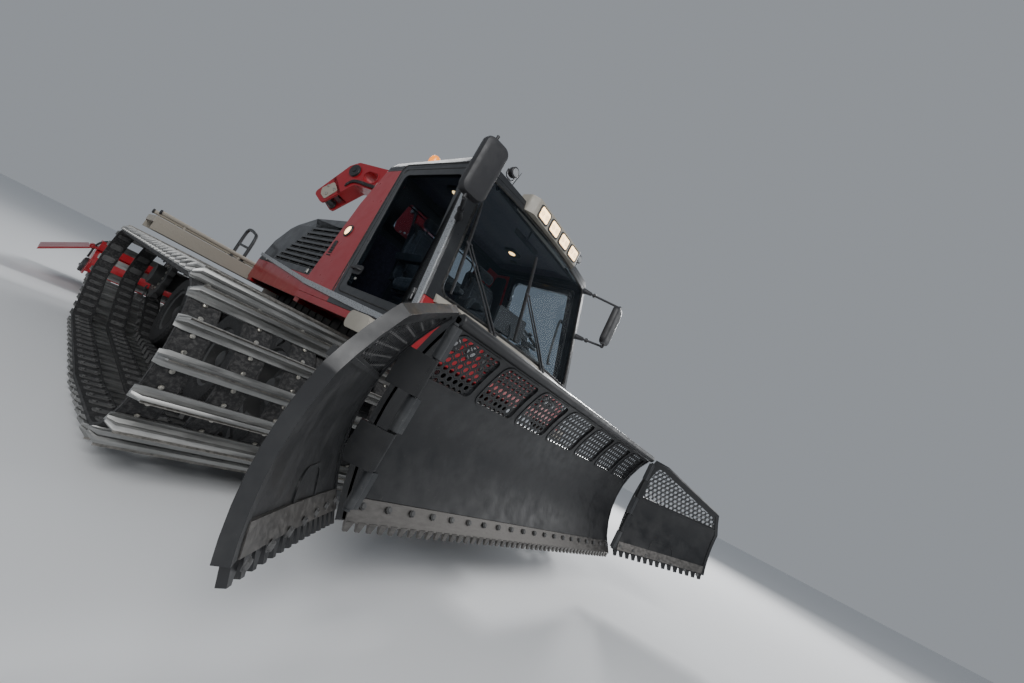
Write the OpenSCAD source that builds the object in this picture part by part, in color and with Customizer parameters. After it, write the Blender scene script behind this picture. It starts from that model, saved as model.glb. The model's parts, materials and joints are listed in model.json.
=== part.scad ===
// Tracked snow groomer with front blade, rear winch boom and rear tiller.
// Millimetres. The front faces -Y, +X is the machine's left and +Z is up.
// The ground is z = 0 and the origin lies under the middle of the whole machine.

/* [Tracks] */
// Distance from the middle of the machine to a track's inner edge
track_in = 640; // [600:10:700]
// Width of one track
track_w = 1490; // [1200:10:1500]
// Radius of the road wheels over the tyre
wheel_r = 380; // [350:5:385]
// Width of a road wheel
wheel_w = 330; // [250:10:400]
// Pitch of the track's crossbars
bar_pitch = 156; // [140:2:200]
// Thickness of the rubber belts
belt_t = 20; // [14:1:26]
// Height of a crossbar's blade above the belt
bar_h = 75; // [55:5:90]
// Radius of the drive sprocket
sprocket_r = 270; // [240:5:290]
// Height of the drive sprocket's axle
sprocket_z = 680; // [660:5:720]
// How much higher the front wheel stands than the others
idler_lift = 85; // [60:5:110]

/* [Chassis] */
// Half width of the central tub
tub_half = 560; // [520:10:580]
// Height of the tub's belly above the ground
belly_z = 340; // [300:10:380]
// Height of the tub's deck
deck_z = 980; // [940:10:1000]

/* [Cab] */
// Half width of the cab at its sill
cab_half = 1060; // [1020:10:1080]
// Half width of the cab at its roof
roof_half = 965; // [930:5:980]
// Height of the cab's floor
floor_z = 1150; // [1130:5:1170]
// Height of the sill line at the windscreen pillar
sill_z = 1250; // [1230:5:1280]
// Height of the roof's crown
roof_z = 2870; // [2800:10:2900]
// Length of the cab from its rear wall to the foot of the windscreen
cab_len = 1995; // [1960:5:2020]
// Lean of the windscreen, in degrees from upright
rake = 15; // [13:0.5:17]
// Radius of the windscreen's curve in plan
screen_r = 4600; // [4200:50:5200]
// Thickness of pillars, doors and walls
wall_t = 45; // [35:1:55]
// Thickness of the glass
glass_t = 10; // [8:1:14]
// Gap around a door
door_gap = 7; // [6:0.5:9]

/* [Rear body] */
// Half width of the engine hood at its base
hood_half = 985; // [940:5:1000]
// Length of the engine hood behind the cab
hood_len = 1760; // [1700:10:1800]
// Height of the hood behind the cab
hood_z = 2190; // [2150:10:2230]
// Thickness of the hood's sheet
hood_t = 30; // [20:2:40]
// Half width of the rear platform
platform_half = 1990; // [1900:10:2060]
// Height of the rear platform
platform_z = 1260; // [1220:5:1280]

/* [Blade] */
// Half width of the blade between its wings
blade_half = 1445; // [1400:5:1480]
// Length of one wing from its hinge
wing_len = 950; // [880:10:980]
// Rest angle of the wings, forward of straight
wing_rest = 50; // [42:1:54]
// Height of the cutting edge at rest, with the blade carried
blade_low = 375; // [350:5:390]
// Height of the mouldboard from edge to rim
blade_h = 940; // [920:5:960]
// Depth of the mouldboard's hollow
blade_sag = 150; // [120:5:170]
// Thickness of the mouldboard
blade_t = 20; // [14:1:24]

/* [Winch] */
// Height of the boom's top edge
boom_z = 3300; // [3240:10:3340]
// Rest angle of the boom to the right of straight back
boom_rest = 18; // [10:1:25]
// Reach of the boom from its mast to the rope head
boom_reach = 1900; // [1800:10:2000]

/* [Tiller] */
// Half width of the tiller's housing
tiller_half = 2100; // [2040:10:2140]
// Width of one side finisher
flap_w = 420; // [380:10:460]
// Radius of the tiller's reel over its tines
reel_r = 190; // [170:5:200]
// Length of the rubber finisher
comb_len = 900; // [800:10:950]

/* [Hidden] */

// Clearances and common sizes
seat_gap = 0.3;
pin_gap = 0.05;
run_gap = 8;
pin_r = 30;
red = "#a81e22";
black = "#17181a";
dark = "#2a2c2f";
silver = "#b9bcbe";
grey = "#6d7174";
rubber = "#202122";
steel = "#8d9194";

// Wheels and sprocket of a side: y, z and radius, in order from the front, below, to the rear
wheel_z = belt_t + bar_h + wheel_r;
wheel_y = [-1545, -600, 320, 1240];
sprocket_y = 2100;
wheel_row = [for (i = [0:3]) [wheel_y[i], wheel_z + (i == 0 ? idler_lift : 0), wheel_r]];
sprocket_c = [sprocket_y, sprocket_z, sprocket_r];
track_mid = track_in + track_w / 2;
track_out = track_in + track_w;

// The machine's ends, from which the origin's place follows
mould_r = (blade_h * blade_h / 4 + blade_sag * blade_sag) / (2 * blade_sag);
mould_c = [blade_sag - mould_r, blade_h / 2];
mould_a = asin(blade_h / 2 / mould_r);
function mould_at(z) = mould_c[0] + sqrt(mould_r * mould_r - (z - mould_c[1]) * (z - mould_c[1]));
wing_tip_z = 170;
wing_pivot_in = 12;
rim_front = 6;
chord_lean = 3;
edge_y = -2680;
wing_fold_y = wing_len * sin(wing_rest) - (mould_at(wing_tip_z) - rim_front) * cos(wing_rest)
  + wing_pivot_in * (1 - cos(wing_rest));
wing_tip_y = edge_y - wing_fold_y * cos(chord_lean) - wing_tip_z * sin(chord_lean);
tail_y = 2430;
tiller_pivot = [tail_y + 130, 520];
tiller_reach = 920;
tiller_y = tiller_pivot[0] + tiller_reach;
comb_end_y = tiller_y + 290 + comb_len;
shift_y = -(wing_tip_y + comb_end_y) / 2;

// Plane helpers: an arc's points, a polygon with rounded corners, and sheets along each axis
function polar(r, a) = [r * cos(a), r * sin(a)];
function arc(c, r, a0, a1, n) = [for (i = [0:n]) c + polar(r, a0 + (a1 - a0) * i / n)];
function unit(v) = v / norm(v);
function turn(a) = a > 180 ? a - 360 : a <= -180 ? a + 360 : a;
function corner(a, p, b, r, n) =
  let (u = unit(a - p), v = unit(b - p), h = acos(max(-1, min(1, u * v))) / 2, d = r / tan(h),
    c = p + unit(u + v) * r / sin(h), s = p + u * d - c, e = p + v * d - c,
    a0 = atan2(s[1], s[0]), da = turn(atan2(e[1], e[0]) - a0))
  arc(c, r, a0, a0 + da, n);
function rounded(pts, radii, n = 4) =
  let (k = len(pts))
  [for (i = [0:k - 1]) let (r = is_list(radii) ? radii[i] : radii)
    each (r > 0 ? corner(pts[(i + k - 1) % k], pts[i], pts[(i + 1) % k], r, n) : [pts[i]])];
module sheet_x(pts, x0, x1) translate([x0, 0, 0]) rotate([90, 0, 90]) linear_extrude(x1 - x0) polygon(pts);
module sheet_y(pts, y0, y1) translate([0, y1, 0]) rotate([90, 0, 0]) linear_extrude(y1 - y0) polygon(pts);
module sheet_z(pts, z0, z1) translate([0, 0, z0]) linear_extrude(z1 - z0) polygon(pts);
module block(x0, x1, y0, y1, z0, z1) translate([x0, y0, z0]) cube([x1 - x0, y1 - y0, z1 - z0]);
module rod_x(y, z, r, x0, x1) translate([x0, y, z]) rotate([0, 90, 0]) cylinder(r = r, h = x1 - x0, $fn = 40);
module rod_y(x, z, r, y0, y1) translate([x, y1, z]) rotate([90, 0, 0]) cylinder(r = r, h = y1 - y0, $fn = 40);
module rod_z(x, y, r, z0, z1) translate([x, y, z0]) cylinder(r = r, h = z1 - z0, $fn = 40);
module between(p, q, r) {
  d = q - p;
  translate(p) rotate([0, acos(d[2] / norm(d)), atan2(d[1], d[0])])
    cylinder(r = r, h = norm(d), $fn = 32);
}
module place() translate([0, shift_y, 0]) children();
module left() place() children();
module right() place() mirror([1, 0, 0]) children();
module both() {
  children();
  mirror([1, 0, 0]) children();
}

// Track: the belt's inner path runs round the wheels, and the crossbars follow it at an even pitch
loop = [wheel_row[0], wheel_row[1], wheel_row[3], sprocket_c];
loop_n = len(loop);
function tangent(i) = let (a = loop[i % loop_n], b = loop[(i + 1) % loop_n], d = [b[0] - a[0], b[1] - a[1]])
  atan2(d[1], d[0]) - 90 + asin((a[2] - b[2]) / norm(d));
function at_circle(c, r, a) = [c[0] + r * cos(a), c[1] + r * sin(a)];
// Each stretch of the path: kind (0 arc, 1 straight), wheel, start angle, end angle, length
function stretches() = [for (i = [0:loop_n - 1])
  let (a0 = tangent(i + loop_n - 1), a1 = tangent(i), b = loop[(i + 1) % loop_n], c = loop[i],
    da = (a1 - a0) < 0 ? a1 - a0 + 360 : a1 - a0,
    run = norm(at_circle(b, b[2], a1) - at_circle(c, c[2], a1)))
  each [[0, i, a0, da, c[2] * da * PI / 180], [1, i, a1, 0, run]]];
path = stretches();
function sum_to(k) = k == 0 ? 0 : path[k - 1][4] + sum_to(k - 1);
path_len = sum_to(len(path));
bar_count = round(path_len / bar_pitch);
function find(s, k = 0) = (k >= len(path) - 1 || s < path[k][4]) ? [k, s] : find(s - path[k][4], k + 1);
// Angle of the outward normal and the point at a distance s along the path, raised by d
function normal_at(s) = let (f = find(s), p = path[f[0]])
  p[0] == 0 ? p[2] + (p[4] > 0 ? p[3] * f[1] / p[4] : 0) : p[2];
function point_at(s, d) =
  let (f = find(s), p = path[f[0]], c = loop[p[1]], b = loop[(p[1] + 1) % loop_n], n = normal_at(s))
  p[0] == 0 ? at_circle(c, c[2] + d, n)
    : at_circle(c, c[2] + d, n) + unit(at_circle(b, b[2], n) - at_circle(c, c[2], n)) * f[1];
bar_foot = 52;
bar_tip = 16;
function bar_points(i) = let (s = (i + 0.5) * path_len / bar_count, n = normal_at(s), t = [-sin(n), cos(n)],
    foot = point_at(s, belt_t), tip = point_at(s, belt_t + bar_h))
  [foot - t * bar_foot / 2, tip - t * bar_tip / 2, tip + t * bar_tip / 2, foot + t * bar_foot / 2];
outer_loop = [for (i = [0:bar_count - 1]) each bar_points(i)];
arc_step = 12;
inner_loop = [for (p = path) if (p[0] == 0) let (n = max(1, ceil(p[3] / arc_step)), c = loop[p[1]])
  for (j = [0:n - 1]) at_circle(c, (c[2] + seat_gap) / cos(p[3] / n / 2), p[2] + p[3] * (j + 0.5) / n)];

module track() color(rubber) difference() {
  sheet_x(outer_loop, track_in, track_out);
  sheet_x(inner_loop, track_in - 1, track_out + 1);
}
module road_wheel(c) translate([track_mid, c[0], c[1]]) rotate([0, 90, 0]) rotate_extrude($fn = 40)
  polygon([[60, -70], [95, -70], [95, -22], [210, -22], [225, -wheel_w / 2 + 30], [300, -wheel_w / 2],
    [c[2] - 25, -wheel_w / 2 + 20], [c[2], -wheel_w / 2 + 60], [c[2], wheel_w / 2 - 60],
    [c[2] - 25, wheel_w / 2 - 20], [300, wheel_w / 2], [225, wheel_w / 2 - 30], [210, 22], [95, 22],
    [95, 70], [60, 70]]);
module wheels() color(rubber) for (c = wheel_row) road_wheel(c);

sprocket_teeth = 11;
function gear(r0, r1, n) = [for (i = [0:n - 1]) for (p = [[r0, 0], [r1, 0.3], [r1, 0.7]])
  polar(p[0], 360 * (i + p[1]) / n)];
drive_r = 185;
module sprocket() color(dark) translate([0, sprocket_y, sprocket_z]) rotate([90, 0, 90]) {
  translate([0, 0, tub_half]) cylinder(r = drive_r, h = 420, $fn = 48);
  translate([0, 0, tub_half + 400]) cylinder(r = 120, h = track_mid + 320 - tub_half - 400, $fn = 48);
  for (x = [-230, 170]) translate([0, 0, track_mid + x]) linear_extrude(60)
    polygon(gear(sprocket_r - 45, sprocket_r - seat_gap, sprocket_teeth));
}

// Axle tubes with their swing arms, from the tub's side to each wheel's hub
hub_r = 60 - seat_gap;
arm_back = 260;
module axle_arm(c) {
  rod_x(c[0], c[1], hub_r, tub_half + 110, track_mid + 90);
  sheet_x([[c[0] - 80, c[1] - 70], [c[0] + arm_back + 70, c[1] - 60], [c[0] + arm_back + 70, c[1] + 60],
    [c[0] - 80, c[1] + 80]], tub_half + 50, tub_half + 110);
  rod_x(c[0] + arm_back, c[1], 75, tub_half, tub_half + 50);
}
module axle_arms() color(dark) both() for (c = wheel_row) axle_arm(c);

// Tub: a boat-shaped steel box with the front lugs of the lift frame and the rear lugs of the tiller
nose_y = -1760;
lift_pivot = [-1560, 400];
lug_x = [330, 440];
lug_t = 40;
lug_r = 65;
arm_x = [lug_x[0] + lug_t + 2, lug_x[1] - 2];
tub_shape = [[nose_y, 640], [nose_y + 380, belly_z], [tail_y - 240, belly_z], [tail_y, 560],
  [tail_y, deck_z], [nose_y, deck_z]];
front_lug = [[lift_pivot[0] - 30, lift_pivot[1] - 58], [-1300, belly_z + 4], [-1560, 600],
  [lift_pivot[0] - lug_r, lift_pivot[1]]];
rear_lug = [[tiller_pivot[0], tiller_pivot[1] - lug_r], [tail_y - 60, 470], [tail_y - 60, 645],
  [tiller_pivot[0], tiller_pivot[1] + lug_r]];
module lug(p, shape) difference() {
  union() {
    rod_x(p[0], p[1], lug_r, 0, lug_t);
    sheet_x(shape, 0, lug_t);
  }
  rod_x(p[0], p[1], pin_r + pin_gap, -1, lug_t + 1);
}
cyl_base = [-1830, 1010];
tiller_base = [tail_y + 70, 930];
cyl_x = 190;
cyl_lug_t = 24;
cyl_half = 52;
cyl_pin_r = 24;
eye_r = 46;
eye_play = 9.5;
cyl_lug_x = [cyl_x - cyl_half - cyl_lug_t - 2, cyl_x + cyl_half + 2];
lift_lug = [[cyl_base[0] - 45, cyl_base[1] - 45], [nose_y + 5, 760], [nose_y + 5, deck_z - 5],
  [cyl_base[0] + 45, cyl_base[1] + 45], [cyl_base[0] - 45, cyl_base[1] + 45]];
tail_lug = [[tiller_base[0] + 45, tiller_base[1] - 45], [tail_y - 5, 820], [tail_y - 5, deck_z - 2],
  [tiller_base[0] + 45, tiller_base[1] + 45]];
module cyl_lugs(p, shape) for (x = cyl_lug_x) difference() {
  sheet_x(shape, x, x + cyl_lug_t);
  rod_x(p[0], p[1], cyl_pin_r + pin_gap, x - 1, x + cyl_lug_t + 1);
}
hitch_y = tail_y + 50;
hitch_r = 21;
tow_eye = [485, -1810];
tow_z = [745, 775];
tow_r = 25;
module chassis_tub() color(dark) difference() {
  union() {
    sheet_x(tub_shape, -tub_half, tub_half);
    both() {
      for (x = lug_x) translate([x, 0, 0]) {
        lug(lift_pivot, front_lug);
        lug(tiller_pivot, rear_lug);
      }
      cyl_lugs(cyl_base, lift_lug);
      cyl_lugs(tiller_base, tail_lug);
      block(tow_eye[0] - 50, tow_eye[0] + 50, tow_eye[1] - 55, nose_y + 5, tow_z[0], tow_z[1]);
    }
    for (z = [620, 720]) block(-60, 60, tail_y - 5, hitch_y + 45, z, z + 40);
  }
  rod_z(0, hitch_y, hitch_r, 600, 780);
  for (x = [-tow_eye[0], tow_eye[0]]) rod_z(x, tow_eye[1], tow_r, tow_z[0] - 9, tow_z[1] + 9);
}
module engine_block() color(grey) block(-380, 380, 180, hood_len - 310, deck_z + seat_gap, hood_z - 410);

// Cab: the space common to a side view, a front view and the leaning curve of the windscreen
cab_rear = 0;
cab_front = -cab_len;
screen_mid = cab_front + screen_r / cos(rake);
sill_slope = (cab_half - roof_half) / (roof_z - 100 - sill_z);
function half_at(z) = cab_half - (z - sill_z) * sill_slope;
function front_view(i) = let (b = floor_z + i, m = roof_z - 150, t = roof_z - i)
  [[-half_at(b) + i, b], [half_at(b) - i, b], [half_at(m) - i, m], [half_at(t) - 28 - i, roof_z - 75 - i],
   [half_at(t) - 95 - i, roof_z - 15 - i], [half_at(t) - 190 - i, t], [-half_at(t) + 190 + i, t],
   [-half_at(t) + 95 + i, roof_z - 15 - i], [-half_at(t) + 28 + i, roof_z - 75 - i], [-half_at(m) + i, m]];
// How the roof falls to the front: share of the cab's length, drop below the crown
roof_fall = [[0.3, 0], [0.55, 20], [0.7, 70], [0.78, 125], [1.3, 330]];
function side_view(i) = concat(
  [[1.3 * cab_front, floor_z + i], [cab_rear - i, floor_z + i], [cab_rear - i, roof_z - 620],
   [cab_rear - 110 - i, roof_z - 60 - i], [cab_rear - 200 - i, roof_z - 12 - i]],
  [for (r = roof_fall) [r[0] * cab_front, roof_z - r[1] - i]]);
module screen_drum(i) translate([0, screen_mid, sill_z]) rotate([-rake, 0, 0])
  translate([0, 0, -screen_r]) cylinder(r = screen_r - i, h = 2 * screen_r, $fn = 240);
module cab_solid(i) intersection() {
  sheet_x(side_view(i), -1300, 1300);
  sheet_y(front_view(i), -2600, 200);
  screen_drum(i);
}
function screen_at(x, z) =
  screen_mid + (z - sill_z) * tan(rake) - sqrt(screen_r * screen_r - x * x) / cos(rake);
function corner_y(z) = screen_at(half_at(z), z);
roof_cut = roof_z - 180;
cowl_z = sill_z + 260;
// Door outline in side view, clockwise from the lower front
door_in = 115;
door_z = [sill_z + 65, roof_cut - 50];
door_pts = [[corner_y(door_z[0]) + door_in, door_z[0]], [corner_y(door_z[1]) + door_in, door_z[1]],
  [0.21 * cab_front, roof_cut - 25], [0.345 * cab_front, sill_z + 95]];
door_radii = [90, 60, 40, 60];
function grow(pts, g) = let (m = [for (p = pts) 1] * pts / len(pts))
  [for (p = pts) p + g * [sign(p[0] - m[0]), sign(p[1] - m[1])]];
door_shape = rounded(door_pts, door_radii);
door_hole = rounded(grow(door_pts, door_gap), door_radii + [7, 7, 7, 7]);
door_window = rounded(grow(door_pts, -62), 60);
pillar_w = 90;
screen_z = [cowl_z + 65, roof_cut - 50];
screen_pts = [[-half_at(screen_z[0]) + pillar_w, screen_z[0]], [half_at(screen_z[0]) - pillar_w, screen_z[0]],
  [half_at(screen_z[1]) - pillar_w, screen_z[1]], [-half_at(screen_z[1]) + pillar_w, screen_z[1]]];
screen_shape = rounded(screen_pts, 70);
quarter_pts = [[0.32 * cab_front, floor_z], [cab_rear + 1, floor_z], [cab_rear + 1, roof_cut - 25],
  [0.183 * cab_front, roof_cut - 25], [0.318 * cab_front, sill_z + 60]];
rear_z = [hood_z + 70, roof_cut - 100];
rear_pts = rounded([[-620, rear_z[0]], [620, rear_z[0]], [600, rear_z[1]], [-600, rear_z[1]]], 60);

module cab_shell() difference() {
  cab_solid(0);
  cab_solid(wall_t);
}
module cab_frame() color(black) {
  frame_hinges();
  frame_shell();
}
module frame_shell() difference() {
  cab_shell();
  block(-1300, 1300, -2600, 200, roof_cut - seat_gap, 3000);
  block(-1300, 1300, -2600, 200, floor_z - 150, floor_z + wall_t + 20);
  sheet_x(door_hole, -1300, 1300);
  sheet_x(quarter_pts, -1300, -half_at(roof_z) + 200);
  sheet_x(quarter_pts, half_at(roof_z) - 200, 1300);
  sheet_y(screen_shape, -2600, -1200);
  sheet_y(rear_pts, -200, 100);
  nose_cut();
}
module frame_hinges() both() for (d = hinge_row) at_hinge(d) pillar_knuckle();
module nose_cut() block(-1300, 1300, -2600, corner_y(cowl_z) + 66, floor_z - 150, cowl_z);
module cab_roof() color(black) intersection() {
  difference() {
    cab_solid(0);
    cab_solid(wall_t);
  }
  block(-1300, 1300, -2600, 200, roof_cut, 3000);
}
module red_quarters() color(red) intersection() {
  cab_shell();
  both() difference() {
    sheet_x(quarter_pts, half_at(roof_z) - 200 + seat_gap, 1300);
    block(0, 1300, -2600, 200, roof_cut - seat_gap, 3000);
    block(0, 1300, -2600, 200, floor_z - 150, floor_z + wall_t + 20);
  }
}
module cab_floor() color(red) {
  intersection() {
    cab_solid(0);
    union() {
      block(-1300, 1300, -2600, 200, floor_z - 150, floor_z + wall_t + 20 - seat_gap);
      difference() {
        nose_cut();
        cab_solid(wall_t);
      }
    }
  }
  // Mounts that carry the cab on the tub
  both() for (y = [-1500, -300]) block(330, 450, y, y + 160, deck_z, floor_z);
}
module glass(shape_i) difference() {
  cab_solid(shape_i);
  cab_solid(shape_i + glass_t);
}
module windscreen() color("#20262c", 0.6) intersection() {
  glass(8);
  sheet_y(screen_shape, -2600, -1200);
}
module rear_glass() color("#20262c", 0.6) intersection() {
  glass(8);
  sheet_y(rear_pts, -200, 100);
}
module door_panel() color(black) {
  difference() {
    intersection() {
      cab_shell();
      sheet_x(door_shape, 500, 1300);
    }
    sheet_x(door_window, 400, 1300);
  }
  for (d = hinge_row) at_hinge(d) door_knuckle();
}
module door_glass() color("#20262c", 0.6) intersection() {
  glass(6);
  sheet_x(door_window, 500, 1300);
}
// Door hinges: a pillar knuckle and a door knuckle on one leaning axis, at two heights
hinge_lean = atan2(door_pts[1][0] - door_pts[0][0], door_z[1] - door_z[0]);
hinge_in = atan(sill_slope);
hinge_z = door_z[0] + 170;
hinge_row = [0, 1020];
hinge_off = 15;
hinge_r = 15;
hinge_pin = 7;
hinge_h = 46;
hinge_leaf = 36;
hinge_y = door_pts[0][0] + (hinge_z - door_z[0]) * tan(hinge_lean) - door_gap / 2;
module at_hinge(d) translate([half_at(hinge_z) + hinge_off, hinge_y, hinge_z])
  rotate([-hinge_lean, -hinge_in, 0]) translate([0, 0, d]) children();
module pillar_knuckle() {
  cylinder(r = hinge_r, h = hinge_h, $fn = 32);
  translate([0, 0, -hinge_h]) cylinder(r = hinge_pin, h = 2 * hinge_h, $fn = 32);
  translate([-hinge_off - 20, -door_gap / 2 - 16, 0]) cube([hinge_off + 20, 14, hinge_h]);
}
module door_knuckle() translate([0, 0, -hinge_h]) difference() {
  union() {
    cylinder(r = hinge_r, h = hinge_h - 1, $fn = 32);
    translate([-hinge_off + 2, 0, 0]) cube([hinge_off - 2, hinge_leaf, hinge_h - 1]);
    translate([-hinge_off - 12, door_gap / 2 + 6, 0]) cube([hinge_off, hinge_leaf - 10, hinge_h - 1]);
  }
  translate([0, 0, -1]) cylinder(r = hinge_pin + pin_gap, h = hinge_h + 2, $fn = 32);
}
trim_z = roof_cut - 10;
trim_low = sill_z - 42;
trim_shape = concat(
  rounded([[corner_y(trim_z) + 15, trim_z], [corner_y(trim_low) + 15, trim_low],
    [cab_rear, sill_z + 45]], [0, 150, 0], 6),
  rounded([[cab_rear, sill_z + 92], [corner_y(sill_z) + 85, sill_z + 18],
    [corner_y(trim_z) + 85, trim_z]], [0, 110, 0], 6));
module hood_trim() sheet_x([[cab_rear + 1, sill_z + 45], [hood_len - 20, sill_z + 200],
  [hood_len - 20, sill_z + 240], [cab_rear + 1, sill_z + 92]], hood_half + seat_gap, hood_half + 14);
module side_trims() color(silver) both() {
  intersection() {
    difference() {
      cab_solid(-14);
      cab_solid(-seat_gap);
    }
    sheet_x(trim_shape, 600, 1300);
  }
  hood_trim();
}

cab_in_z = floor_z + wall_t + 20;
seat_y = 0.59 * cab_front;
seat_z = floor_z + 490;
seat_x = 0.405 * cab_half;
module seat() translate([0, seat_y, seat_z]) {
  sheet_x(rounded([[0, 0], [540, -20], [540, 100], [0, 120]], 40), -260, 260);
  sheet_x(rounded([[480, 50], [610, 50], [760, 800], [660, 810]], 30), -250, 250);
  block(-180, 180, 120, 460, cab_in_z - seat_z, 10);
}
module seats() color(dark) for (x = [-seat_x, seat_x]) translate([x, 0, 0]) seat();
dash_half = 760;
dash_y = screen_at(dash_half, floor_z + 390) + wall_t + 12;
module dashboard() color(dark) {
  sheet_x(rounded([[dash_y, cab_in_z], [dash_y + 180, cab_in_z], [dash_y + 240, floor_z + 350],
    [dash_y + 160, floor_z + 430], [dash_y, floor_z + 390]], 25), -dash_half, dash_half);
  block(-100, 100, seat_y + 80, seat_y + 480, cab_in_z, seat_z + 60);
  between([0, seat_y + 240, seat_z + 60], [0, seat_y + 190, seat_z + 200], 26);
}

// Roof: lamp bar in front, beacons and work lamps
bar_half = 460;
bar_z = [roof_cut - 45, roof_cut + 125];
bar_y = screen_at(0, bar_z[0]) - 45;
lamp_bar = [[-bar_half, bar_y + 200], [-bar_half, bar_y + 60], [-bar_half + 60, bar_y],
  [bar_half - 60, bar_y], [bar_half, bar_y + 60], [bar_half, bar_y + 200]];
beacon_c = [0.77 * roof_half + 47, 0.23 * cab_front];
work_lamp = [0.67 * roof_half, 0.725 * cab_front, roof_z + 12];
module roof_lamps() color("#9c9688") difference() {
  union() {
    sheet_z(rounded(lamp_bar, 25), bar_z[0], bar_z[1]);
    both() {
      translate([beacon_c[0], beacon_c[1], roof_z - 60]) cylinder(r = 65, h = 180, $fn = 32);
      rod_y(work_lamp[0], work_lamp[2], 46, work_lamp[1] - 50, work_lamp[1] + 30);
      translate([work_lamp[0], work_lamp[1], work_lamp[2] - 160]) cylinder(r = 12, h = 150, $fn = 24);
    }
  }
  cab_solid(-seat_gap);
}
mirror_z = roof_z - 450;
mirror_c = [half_at(mirror_z) + 183, corner_y(mirror_z) - 305, mirror_z];
mirror_w = 210;
mirror_h = 450;
mirror_arm = 12;
mirror_stays = [[roof_cut - 10, 240], [roof_cut - 540, -240]];
module mirror_stay(z_in, rise) between([half_at(z_in) - 30, corner_y(z_in) + 30, z_in],
  mirror_c + [30, 5, rise], mirror_arm);
module mirrors() color(black) both() difference() {
  union() {
    translate(mirror_c) rotate([0, 0, 12]) sheet_z(rounded([[-mirror_w / 2, -40], [mirror_w / 2, -40],
      [mirror_w / 2, 40], [-mirror_w / 2, 40]], 35), -mirror_h / 2, mirror_h / 2);
    for (m = mirror_stays) mirror_stay(m[0], m[1]);
    translate(mirror_c + [30, 5, -252]) cylinder(r = mirror_arm, h = 504, $fn = 32);
  }
  cab_solid(-seat_gap);
}
// Wipers: pivot, arm and upright blade of each, standing off the glass
wiper_rows = [[-450, -880], [300, -170]];
wiper_z = cowl_z + 32;
blade_z = [wiper_z + 70, wiper_z + 830];
wiper_off = 28;
function on_screen(x, z, off) = [x, screen_at(x, z) - off, z];
module wipers() color(black) difference() {
  for (w = wiper_rows) {
    between(on_screen(w[0], wiper_z, -30), on_screen(w[0], wiper_z, wiper_off), 22);
    between(on_screen(w[0], wiper_z, wiper_off),
      on_screen(w[1], (blade_z[0] + blade_z[1]) / 2, wiper_off), 10);
    between(on_screen(w[1], blade_z[0], wiper_off), on_screen(w[1], blade_z[1], wiper_off), 12);
  }
  cab_solid(-seat_gap);
}

// Hood over the engine, with slots in its sides, on red lower panels
hood_base = floor_z + 250;
function hood_front(i) = [[-hood_half + i, hood_base - i], [hood_half - i, hood_base - i],
  [hood_half - 45 - i, hood_z - 230], [hood_half - 90 - i, hood_z - 90 - i],
  [hood_half - 230 - i, hood_z - i], [-hood_half + 230 + i, hood_z - i],
  [-hood_half + 90 + i, hood_z - 90 - i], [-hood_half + 45 + i, hood_z - 230]];
function hood_side(i) = [[20 + i, hood_base - i], [20 + i, hood_z - i], [0.4 * hood_len, hood_z - i],
  [0.61 * hood_len, hood_z - 90 - i], [0.85 * hood_len, hood_z - 290 - i],
  [hood_len - 60 - i, hood_base + 290], [hood_len - i, hood_base - i]];
module hood_solid(i) intersection() {
  sheet_y(hood_front(i), 0, 2000);
  sheet_x(hood_side(i), -1200, 1200);
}
slot_n = 9;
slot_pitch = 62;
slot_h = 30;
mast_y = 600;
mast_r = 170;
module engine_hood() color(black) difference() {
  hood_solid(0);
  hood_solid(hood_t);
  for (i = [0:slot_n - 1]) let (z = hood_base + 70 + i * slot_pitch)
    block(-1200, 1200, 150, hood_len - 460 - i * 60, z, z + slot_h);
  translate([0, mast_y, hood_z - 290]) cylinder(r = mast_r + 30, h = 400, $fn = 48);
}
module lower_panels() color(red) {
  difference() {
    block(-hood_half, hood_half, 20, hood_len, floor_z, hood_base - seat_gap);
    block(-hood_half + 40, hood_half - 40, 60, hood_len - 40, floor_z - 50, hood_base + 100);
  }
  both() for (y = [60, hood_len - 160]) {
    block(tub_half - 120, hood_half, y, y + 120, floor_z - 40, floor_z + 5);
    block(tub_half - 120, tub_half, y, y + 120, deck_z + seat_gap, floor_z - 40);
  }
}
platform_end = tail_y - 10;
module rear_platform() color(grey) {
  block(-platform_half, platform_half, hood_len + 20, platform_end, platform_z - 70, platform_z);
  both()
    block(tub_half - 120, tub_half, hood_len + 60, platform_end - 40, deck_z + seat_gap, platform_z - 70);
}

// Winch: mast frame over the engine and a swan-neck boom that swings
mast_z = 2420;
bearing_r = 90;
module winch_frame() color(dark) {
  both() for (y = [mast_y - 180, mast_y + 80]) block(430, 520, y, y + 100, deck_z + seat_gap, 1840);
  difference() {
    union() {
      block(-520, 520, mast_y - 180, mast_y + 180, 1800, 1840);
      translate([0, mast_y, 1840]) cylinder(r = mast_r, h = mast_z - 1840, $fn = 48);
    }
    translate([0, mast_y, 2240]) cylinder(r = bearing_r + pin_gap, h = 400, $fn = 48);
  }
}
boom_half = 110;
boom_pts = rounded([[-200, mast_z + run_gap], [210, mast_z + run_gap], [330, boom_z - 370],
  [1280, boom_z - 350], [boom_reach - 240, boom_z - 760], [boom_reach, boom_z - 640],
  [1560, boom_z - 90], [1420, boom_z], [200, boom_z], [-200, boom_z - 260]],
  [0, 0, 120, 90, 60, 60, 60, 90, 160, 120]);
hole_r = 95;
module winch_boom() color(red) translate([0, mast_y, 0]) rotate([0, 0, boom_rest]) difference() {
  union() {
    sheet_x(boom_pts, -boom_half, boom_half);
    translate([0, 0, 2250]) cylinder(r = bearing_r, h = mast_z + 40 - 2250, $fn = 48);
  }
  rod_x(1080, boom_z - 180, hole_r, -200, 200);
}

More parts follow.
